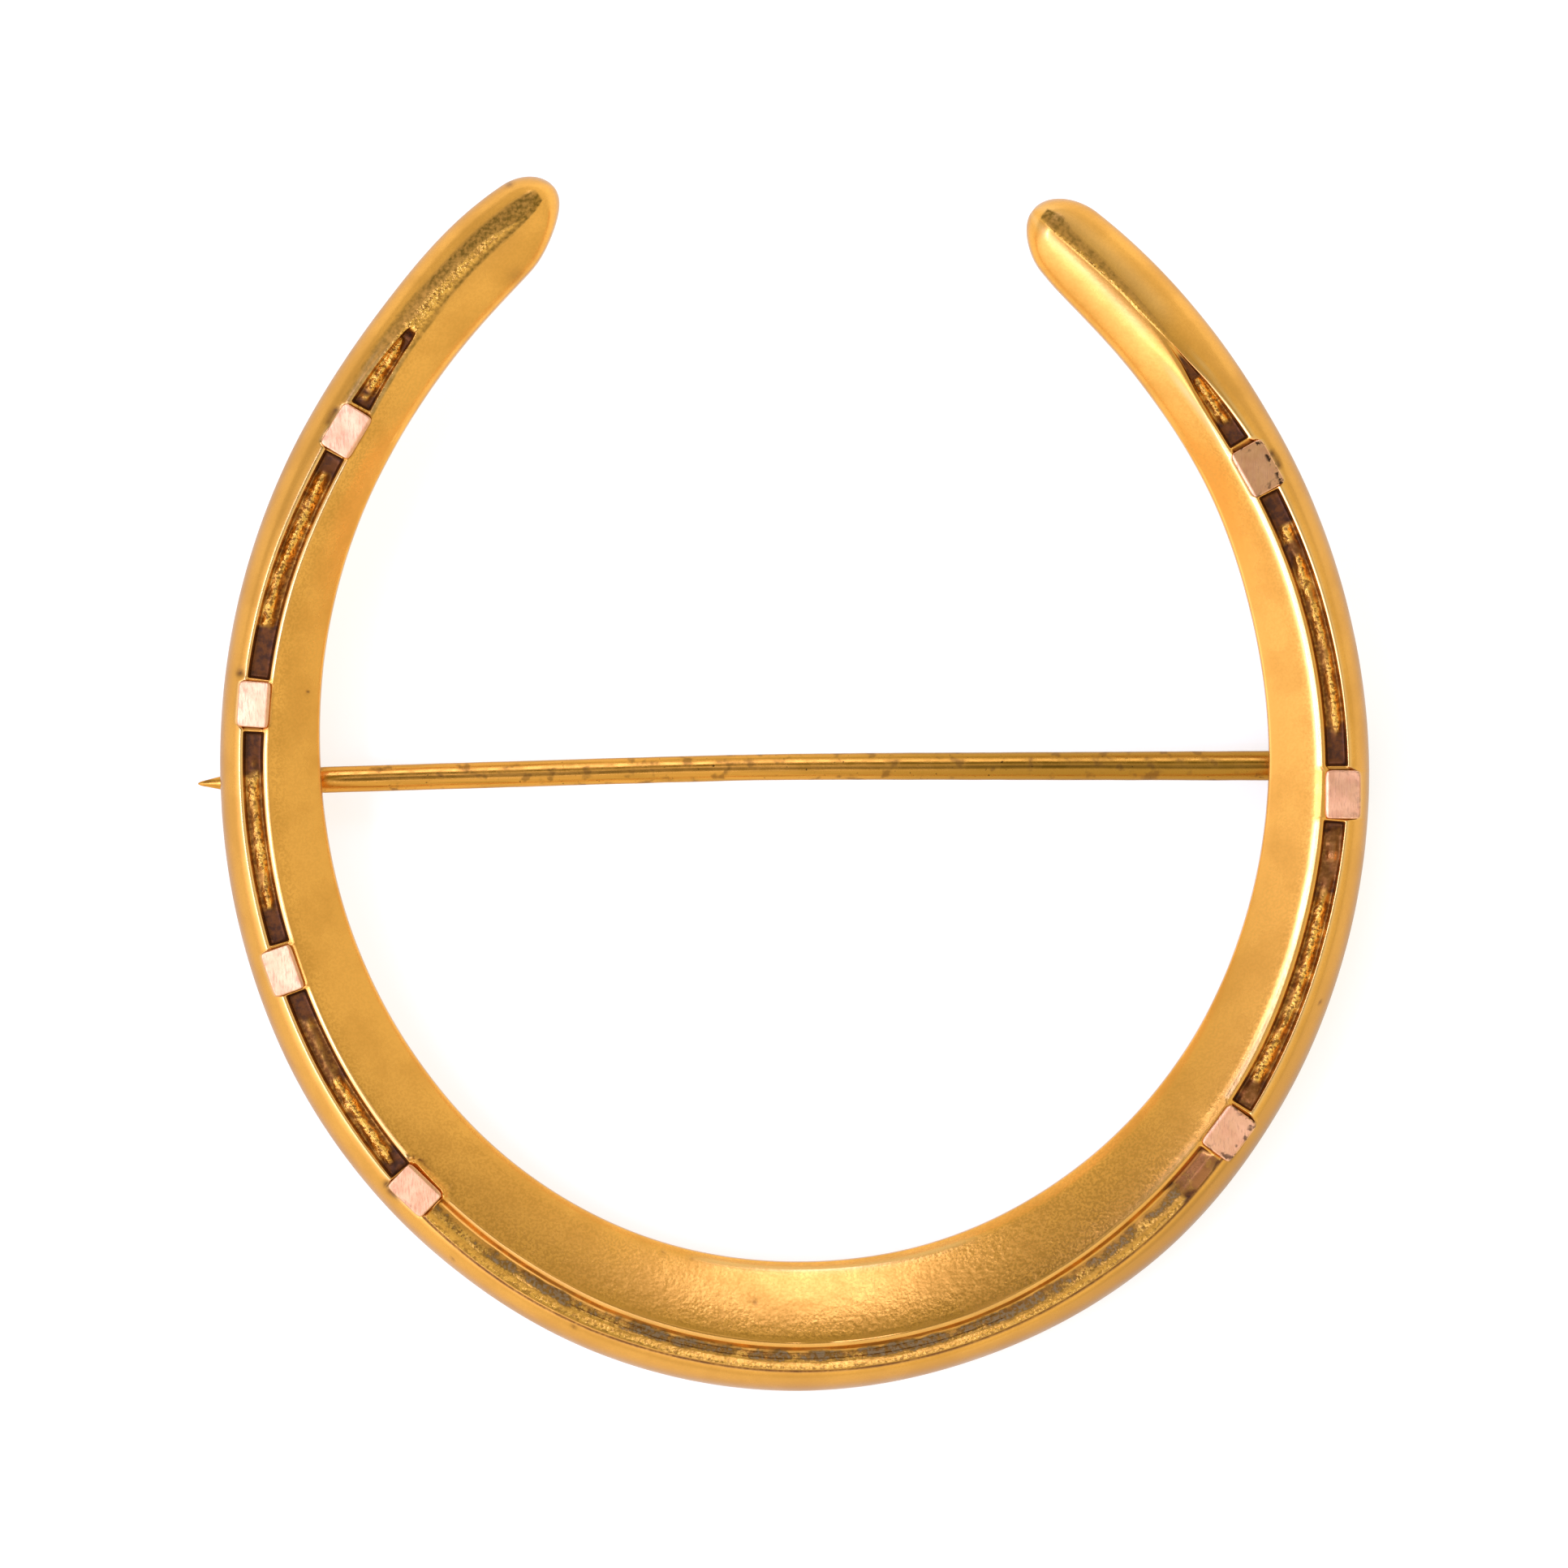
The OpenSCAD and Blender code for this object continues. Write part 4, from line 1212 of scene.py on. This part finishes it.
@dataclass
class NailHead:
    """A rose gold nail head: a rounded block let into its pocket, leaning as it was filed.

    Attributes:
        name: name of the node it stands for.
        angle: angle of its middle from the bottom of the bow.
        shift: its middle, outward from the groove's line, in mm.
        length, width: its size along and across the band, in mm.
        turn: how far it is turned on the band, in degrees.
        lean_out, lean_on: tilt of its top outward and onward along the band, in degrees.
        worn: how spotted its top is, from 0 to 1.
        sill_before, sill_after: gold left standing at its two ends, which the band reads, in mm.
        rise, sunk: how far it stands above the rim and reaches below it, in mm.
        bevel, edge: width of its filed inner edge and radius of the rounded ones, in mm.
    """

    name: str
    angle: float
    shift: float
    length: float
    width: float
    turn: float
    lean_out: float
    lean_on: float
    worn: float
    sill_before: float
    sill_after: float
    rise: float = 0.12
    sunk: float = 0.62
    bevel: float = 0.1
    edge: float = 0.04

    def build(self, band: Band, rest: Rest) -> bpy.types.Object:
        """Builds the head: rings up its side, round its worn edge, and in over its top to the middle.

        Args:
            band: the band that it is let into.
            rest: how the brooch lies.

        Returns:
            The head, with its worn spots and its dark lower side, residue and painted shade, as attributes.
        """
        outline = rounded_outline(self.length, self.width, 9.0)
        high, rim = self.sunk + self.rise, inset(outline, self.edge)
        rings = [(inset(outline, 0.03), 0.0), (outline, 0.05), (outline, high * 0.6)]
        rings += [(inset(outline, self.edge * (1 - math.cos(t))), high - self.edge + self.edge * math.sin(t))
                  for t in np.linspace(0, np.pi / 2, 6)]
        rings += [(rim * s, high) for s in (0.97, 0.93, 0.88, 0.82, 0.68, 0.54, 0.4, 0.27, 0.14, 0.05)]
        rows = stacked(rings)
        top = rows[..., 2] > self.sunk
        seed = 20 + int(abs(self.angle))
        dents = lumps(rows[..., :2], 0.6, seed) * 0.008 + lumps(rows[..., :2], 0.22, seed + 1) * 0.002
        lean = -rows[..., 1] * math.tan(math.radians(self.lean_out))
        lean = lean - rows[..., 0] * math.tan(math.radians(self.lean_on))
        lean = lean - 0.25 * np.maximum(-rows[..., 1] - self.width / 2 + self.bevel, 0)
        rows[..., 2] += top * (dents + lean)

        angle, twist = np.array([self.angle]), math.radians(self.turn)
        d, out = band.along(angle)[0], band.outward(angle)[0]
        d, out = d * math.cos(twist) + out * math.sin(twist), out * math.cos(twist) - d * math.sin(twist)
        flat = band.on_line(angle)[0] + out * self.shift + rows[..., :1] * d + rows[..., 1:2] * out
        up = band.rim_height(angle)[0] - self.sunk + rows[..., 2:]
        rim_share = np.maximum(np.abs(rows[..., 0]) / self.length, np.abs(rows[..., 1]) / self.width) * 2
        spots = top * self.worn * ease((rim_share + rows[..., 1] * 0.3 - 0.72) / 0.2)
        # The side below the rim, darkened as residue and painted shade in the gap round the head
        low = np.append(rows[..., 2] < self.sunk * 0.9, True)
        return piece(self.name.replace("nail_", "nail_head_"), rows_to_skin(np.concatenate([flat, up], -1)),
                     rest, {"worn": spots, "seam": low})


@dataclass
class Hinge:
    """The hinge's fixed parts: two soldered knuckles on necks, their foot plate, and the rivet.

    Attributes are in mm.

    Attributes:
        x, y, drop: its middle on the brooch's plane, and how far that lies below the back.
        knuckle_d, knuckle_l, side_l: width of the knuckles, and length of the middle and outer ones.
        gap: room between two knuckles.
        rivet_d, rivet_dome: thickness of the rivet, and how far its hammered ends stand out.
        foot_w, foot_t, neck_w: width and thickness of the foot plate, and width of a neck.
    """

    x: float = 16.4
    y: float = 0.17
    drop: float = 1.15
    knuckle_d: float = 1.7
    knuckle_l: float = 1.0
    side_l: float = 0.85
    gap: float = 0.05
    rivet_d: float = 0.7
    rivet_dome: float = 0.1
    foot_w: float = 1.8
    foot_t: float = 0.22
    neck_w: float = 1.1

    @property
    def middle(self) -> Array:
        """Middle of the hinge on the brooch's plane."""
        return np.array([self.x, self.y, -self.drop])

    @property
    def length(self) -> float:
        """Length of the three knuckles with their gaps."""
        return self.knuckle_l + 2 * self.side_l + 2 * self.gap

    def block(self, length: float, width: float, low: float, high: float, y: float) -> Skin:
        """An upright block with rounded corners whose upper end flares out, as solder does.

        Args:
            length, width, low, high: its size along Y and X, and the heights of its ends, in mm.
            y: its middle along Y.

        Returns:
            A closed skin.
        """
        outline = rounded_outline(width, length, 8.0)
        rings = [(inset(outline, by), z) for by, z in (
            (0.05, low), (0.015, low + 0.015), (0.0, low + 0.05), (0.0, high - 0.12), (-0.03, high - 0.05),
            (-0.1, high))]
        return rows_to_skin(stacked(rings) + [self.x, y, 0.0])

    def build_seat(self, rest: Rest) -> bpy.types.Object:
        """Builds the two knuckles, their necks and the foot plate, soldered into one.

        Args:
            rest: how the brooch lies.

        Returns:
            The seat.
        """
        step = (self.knuckle_l + self.side_l) / 2 + self.gap
        parts = [self.block(self.length, self.foot_w, -self.foot_t, 0.02, self.y)]
        for aside in (-step, step):
            parts.append(tube(self.side_l, self.knuckle_d / 2, self.rivet_d / 2 + 0.01,
                              self.middle + [0, aside, 0]))
            parts.append(self.block(self.side_l - 0.04, self.neck_w, -self.drop + 0.5, -self.foot_t + 0.02,
                                    self.y + aside))
        return piece("hinge_seat", joined(parts), rest)

    def build_rivet(self, rest: Rest) -> bpy.types.Object:
        """Builds the rivet: a profile of a shank and two low hammered domes, turned about the axis.

        Args:
            rest: how the brooch lies.

        Returns:
            The rivet.
        """
        t = np.linspace(0, np.pi / 2, 8)
        dome = coords(self.length / 2 + self.rivet_dome * np.sin(t), self.rivet_d / 2 * np.cos(t) + 0.001)
        rows = turned(np.concatenate([dome[::-1] * [-1, 1], dome]), self.middle, 48)
        return piece("rivet", rows_to_skin(rows.swapaxes(0, 1)), rest)


@dataclass
class Hook:
    """The hook: a strip that stands up from the back and curls a quarter turn under the pin.

    Attributes are in mm.

    Attributes:
        x, y, z: middle of its curl on the brooch's plane.
        radius, thick, width: inner radius of the curl, and the strip's thickness and width.
    """

    x: float = -16.55
    y: float = 0.180503
    z: float = -1.20494
    radius: float = 0.6
    thick: float = 0.35
    width: float = 1.5

    def build(self, rest: Rest) -> bpy.types.Object:
        """Carries a rounded section, wide at its solder and thin at its tip, down the strip's path.

        Args:
            rest: how the brooch lies.

        Returns:
            The strip.
        """
        r = self.radius + self.thick / 2
        stem = np.linspace(0.08, self.z, 8)[:-1]
        curl = np.linspace(0, -np.pi / 2, 14)
        path = np.concatenate([coords(self.y + r, stem),
                               coords(self.y + r * np.cos(curl), self.z + r * np.sin(curl))])
        step = unit(np.gradient(path, axis=0))
        side = coords(step[:, 1], -step[:, 0])
        grow = np.concatenate([[1.5, 1.12], np.ones(len(path) - 5), [0.97, 0.85, 0.55]])[:, None]
        narrow = np.linspace(1.0, 0.97, len(path))[:, None] * np.minimum(grow, 1.1)
        outline = rounded_outline(self.width, self.thick, 5.0, 40)
        across = (self.x + outline[:, 0] * narrow)[..., None]
        down = path[:, None] + side[:, None] * (outline[:, 1] * grow)[..., None]
        return piece("hook_strip", rows_to_skin(np.concatenate([across, down], -1)), rest)


@dataclass
class Pin:
    """The pin: a drawn wire with a faint lengthwise crease, a sharpened point, and the middle knuckle.

    Attributes are in mm on the brooch's plane.

    Attributes:
        hinge: the hinge that it turns on.
        bend_x, bend_y, bend_soft: place of its slight bend, and half the length over which it bends.
        point_y, reach: place of its tip, which lies at -reach across the brooch.
        taper_x, point_x: where its taper starts, and where the sharp point does.
        d_root, d_wire, d_point: its thickness at the hinge, along the wire, and where the point starts.
        bore_gap: room between the rivet and the knuckle's bore.
    """

    hinge: Hinge
    bend_x: float = -0.9
    bend_y: float = 0.14
    bend_soft: float = 1.2
    point_y: float = -0.40
    reach: float = 18.8
    taper_x: float = -14.8
    point_x: float = -18.05
    d_root: float = 0.94
    d_wire: float = 0.82
    d_point: float = 0.43
    bore_gap: float = 0.05

    def line(self, x: Array) -> Array:
        """The wire's middle line: two straight halves, eased by s * log(1 + exp(x / s)).

        Args:
            x: places across the brooch, in mm.

        Returns:
            Its offset along Y there, in mm.
        """
        lean = (self.point_y - self.bend_y) / (-self.reach - self.bend_x)
        root = (self.hinge.y - self.bend_y) / (self.hinge.x - self.bend_x)
        past = self.bend_soft * np.logaddexp(0, (x - self.bend_x) / self.bend_soft)
        return self.bend_y + (x - self.bend_x) * lean + past * (root - lean)

    def build(self, rest: Rest) -> bpy.types.Object:
        """Carries a round section along the wire: radius by table of places, less the crease's notch.

        Args:
            rest: how the brooch lies.

        Returns:
            The wire with its knuckle, its crease as an attribute.
        """
        start = self.hinge.x - self.hinge.knuckle_d / 2 + 0.12
        x = np.concatenate([np.linspace(start, self.taper_x, 210),
                            np.linspace(self.taper_x, -self.reach, 60)[1:]])
        stops, wide = zip((-self.reach, 0.03), (-self.reach + 0.04, 0.09), (-self.reach + 0.1, 0.14),
                          (self.point_x, self.d_point), (self.taper_x, self.d_wire),
                          (self.bend_x, self.d_wire), (start, self.d_root))
        r = np.interp(x, stops, wide) / 2
        t = np.linspace(0, 2 * np.pi, 48, endpoint=False)
        place = coords(x[:, None], t * 0.4, 0)
        wander = 0.06 * lumps(place[..., :1] * [1, 0], 4.0, 31)
        # The crease's notch, which the finish darkens with residue and painted shade
        notch = hump((np.angle(np.exp(1j * (t - np.pi / 2 - wander))) - 0.02) / 0.115)
        notch = notch * ease((x - self.taper_x) / 0.8)[:, None]
        shape = r[:, None] * (1 - 0.06 * notch) + lumps(place, 0.7, 33) * 0.004
        rows = coords(x[:, None], self.line(x)[:, None] + shape * np.cos(t),
                      -self.hinge.drop + shape * np.sin(t))
        knuckle = tube(self.hinge.knuckle_l, self.hinge.knuckle_d / 2, self.hinge.rivet_d / 2 + self.bore_gap,
                       self.hinge.middle)
        return piece("pin_wire", joined([rows_to_skin(rows), knuckle]), rest, {"seam": notch})


@dataclass
class Studio:
    """Plain studio: a pale floor, a soft even tent with darker and brighter sides, and round soft lights.

    Directions are an azimuth on the brooch's plane and an angle from the camera's axis, in degrees.

    Attributes:
        rest: how the brooch lies.
        lens: the camera's focal length in mm.
        view_w, look_at: width of the view and its middle on the brooch's plane, in mm.
        tent: brightness of the tent.
        sides: the tent's sides: azimuth, angle, width in degrees, amount and tint.
        lights: name, azimuth, angle, half the angle that it fills, brightness beside the tent's, tint.
        light_far: how far the lights stand, in metres.
        paper, paper_glow: the floor's colour and how brightly it shines by itself.
        floor_half: half the floor's width in metres.
    """

    rest: Rest
    lens: float = 400.0
    view_w: float = 49.16
    look_at: tuple[float, float, float] = (-0.36, -0.41, 1.0)
    tent: float = 1.145
    sides: tuple[tuple[float, float, float, float, Tint], ...] = (
        (196, 40, 17.5, 1.0, Tint.DAY), (200, 66, 18, 0.25, Tint.DAY), (93, 33, 8, 0.28, Tint.PLAIN),
        (127, 21, 22, -0.68, Tint.DUSK), (137, 75, 50, -0.34, Tint.DUSK),
        (324, 100, 49, -0.3, Tint.DUSK), (64, 42, 11, -0.2, Tint.DUSK),
        (117, 23, 11, -0.28, Tint.DUSK), (15, 68, 22, -0.1, Tint.DUSK),
    )
    lights: tuple[tuple[str, float, float, float, float, Tint], ...] = (
        ("key_low", 236, 16, 6, 1.4, Tint.DAY), ("key_wide", 198, 24, 14, 0.52, Tint.LAMP),
        ("key_mid", 166, 33, 9, 0.58, Tint.LAMP), ("glint_130", 130, 28, 2.8, 1.0, Tint.DAY),
        ("glint_149", 149, 28, 2.8, 3.4, Tint.DAY), ("glint_166", 166, 28, 2.8, 8.0, Tint.DAY),
        ("glint_184", 184, 28, 2.8, 9.0, Tint.DAY), ("glint_202", 202, 28, 2.8, 8.5, Tint.DAY),
        ("top", 92, 50, 11, 2.1, Tint.DAY), ("top_core", 94, 66, 5, 1.6, Tint.DAY),
    )
    light_far: float = 0.32
    paper: str = "#bcbfb8"
    paper_glow: float = 0.66
    floor_half: float = 1.5

    def direction(self, azimuth: float, polar: float) -> Vector:
        """Direction from the brooch: (cos a sin p, sin a sin p, cos p), turned as its plane is.

        Args:
            azimuth: a, on the brooch's plane, in degrees.
            polar: p, from the camera's axis, in degrees.

        Returns:
            A direction of length 1.
        """
        a, p = math.radians(azimuth), math.radians(polar)
        flat = np.array([math.cos(a) * math.sin(p), math.sin(a) * math.sin(p), math.cos(p)])
        return Vector(self.rest.aim(flat))

    def stand(self, name: str, data: bpy.types.ID) -> bpy.types.Object:
        """Makes an object of a camera, a light or a mesh.

        Args:
            name: the object's name.
            data: what it shows.

        Returns:
            The object, at the origin.
        """
        made = bpy.data.objects.new(name, data)
        bpy.context.scene.collection.objects.link(made)
        return made

    def build_camera(self) -> None:
        """The camera, square to the brooch's own plane and as wide as the photograph."""
        data = bpy.data.cameras.new("camera")
        data.lens = self.lens
        data.clip_start, data.clip_end = 0.01, 10.0
        far = self.view_w * MM * self.lens / data.sensor_width
        target = Vector(self.rest.lay(np.array(self.look_at)))
        right, up, back = (Vector(self.rest.aim(v)) for v in np.eye(3))
        turn = Matrix((right, up, back)).transposed().to_4x4()
        bpy.context.scene.camera = self.stand("camera", data)
        bpy.context.scene.camera.matrix_world = Matrix.Translation(target + back * far) @ turn

    def build_floor(self) -> None:
        """A plain pale floor of matt paper, which shines a little so that it is evenly white."""
        half = self.floor_half
        mesh = bpy.data.meshes.new("floor")
        corners = [(-half, -half, 0), (half, -half, 0), (half, half, 0), (-half, half, 0)]
        mesh.from_pydata(corners, [], [(0, 1, 2, 3)])
        paper = bpy.data.materials.new("matt_white_paper")
        paper.use_nodes = True
        shader = paper.node_tree.nodes["Principled BSDF"]
        for name, value in {"Base Color": linear(self.paper), "Roughness": 0.9, "Specular IOR Level": 0.0,
                            "Emission Color": (1, 1, 1, 1), "Emission Strength": self.paper_glow}.items():
            shader.inputs[name].default_value = value
        mesh.materials.append(paper)
        self.stand("floor", mesh)

    def build_tent(self) -> None:
        """A white tent with soft darker and brighter sides.

        Each side adds a lobe, amount * tint * exp((cos(angle) - 1) / width²), round its direction.
        """
        world = bpy.data.worlds.new("tent")
        world.use_nodes = True
        put = partial(add, world.node_tree)
        sky = put("TexCoord", {}, out="Generated")
        total = (self.tent,) * 3
        for azimuth, polar, width, amount, tint in self.sides:
            dot = put("VectorMath", {"operation": "DOT_PRODUCT"}, sky, self.direction(azimuth, polar))
            gap = put("Math", {"operation": "DIVIDE"}, put("Math", MINUS, dot, 1.0), math.radians(width) ** 2)
            lobe = put("Math", {"operation": "EXPONENT"}, gap)
            share = [amount * part for part in tint.value]
            total = put("VectorMath", {"operation": "MULTIPLY_ADD"}, lobe, share, total)
        world.node_tree.links.new(total, world.node_tree.nodes["Background"].inputs["Color"])
        bpy.context.scene.world = world

    def build_lights(self) -> None:
        """Round soft lights that face the brooch, of the brightness L by their power L * pi² * d² / 4."""
        for name, azimuth, polar, angle, brightness, tint in self.lights:
            data = bpy.data.lights.new(name, "AREA")
            data.shape = "DISK"
            data.size = 2 * self.light_far * math.tan(math.radians(angle))
            data.energy = brightness * math.pi**2 * data.size**2 / 4
            data.color = tint.value
            made = self.stand(name, data)
            made.location = self.direction(azimuth, polar) * self.light_far
            made.rotation_mode = "QUATERNION"
            made.rotation_quaternion = made.location.to_track_quat("Z", "Y")
            made.visible_camera = False

    def build(self) -> None:
        """Builds the whole studio."""
        self.build_camera()
        self.build_floor()
        self.build_tent()
        self.build_lights()
        bpy.context.scene.view_settings.view_transform = "Standard"


def dress(made: bpy.types.Object, material: bpy.types.Material, body: str, slot: str, *nodes: str) -> None:
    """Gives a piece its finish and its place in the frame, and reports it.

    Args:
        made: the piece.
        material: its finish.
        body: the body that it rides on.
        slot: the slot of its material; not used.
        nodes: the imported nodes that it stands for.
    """
    made.data.materials.append(material)
    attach(made, body)
    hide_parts(*nodes)
    LOG.info("%s: %d faces, rides on %s", made.name, len(made.data.polygons), body)


def main() -> None:
    """Builds the brooch piece by piece, then the studio."""
    logging.basicConfig(level=logging.INFO, format="%(message)s")
    hinge, band = Hinge(), Band()
    rest = Rest.of_frame(frame["joints"][0], (hinge.x, hinge.y, -hinge.drop))
    bloomed, rose, drawn = (finish().make() for finish in (BloomedGold, BrushedRoseGold, DrawnGoldWire))

    dress(band.build(rest), bloomed, "brooch", "yellow_gold", "horseshoe")
    dress(hinge.build_seat(rest), drawn, "brooch", "yellow_gold", "horseshoe")
    dress(Hook().build(rest), drawn, "brooch", "yellow_gold", "horseshoe")
    for name, sizes in HEADS.items():
        dress(NailHead(name, *sizes).build(band, rest), rose, "brooch", "rose_gold", name)
    dress(Pin(hinge).build(rest), drawn, "pin", "pin_gold", "pin_stem")
    dress(hinge.build_rivet(rest), drawn, "brooch", "pin_gold", "hinge_rivet")
    Studio(rest).build()


if __name__ == "__main__":
    main()
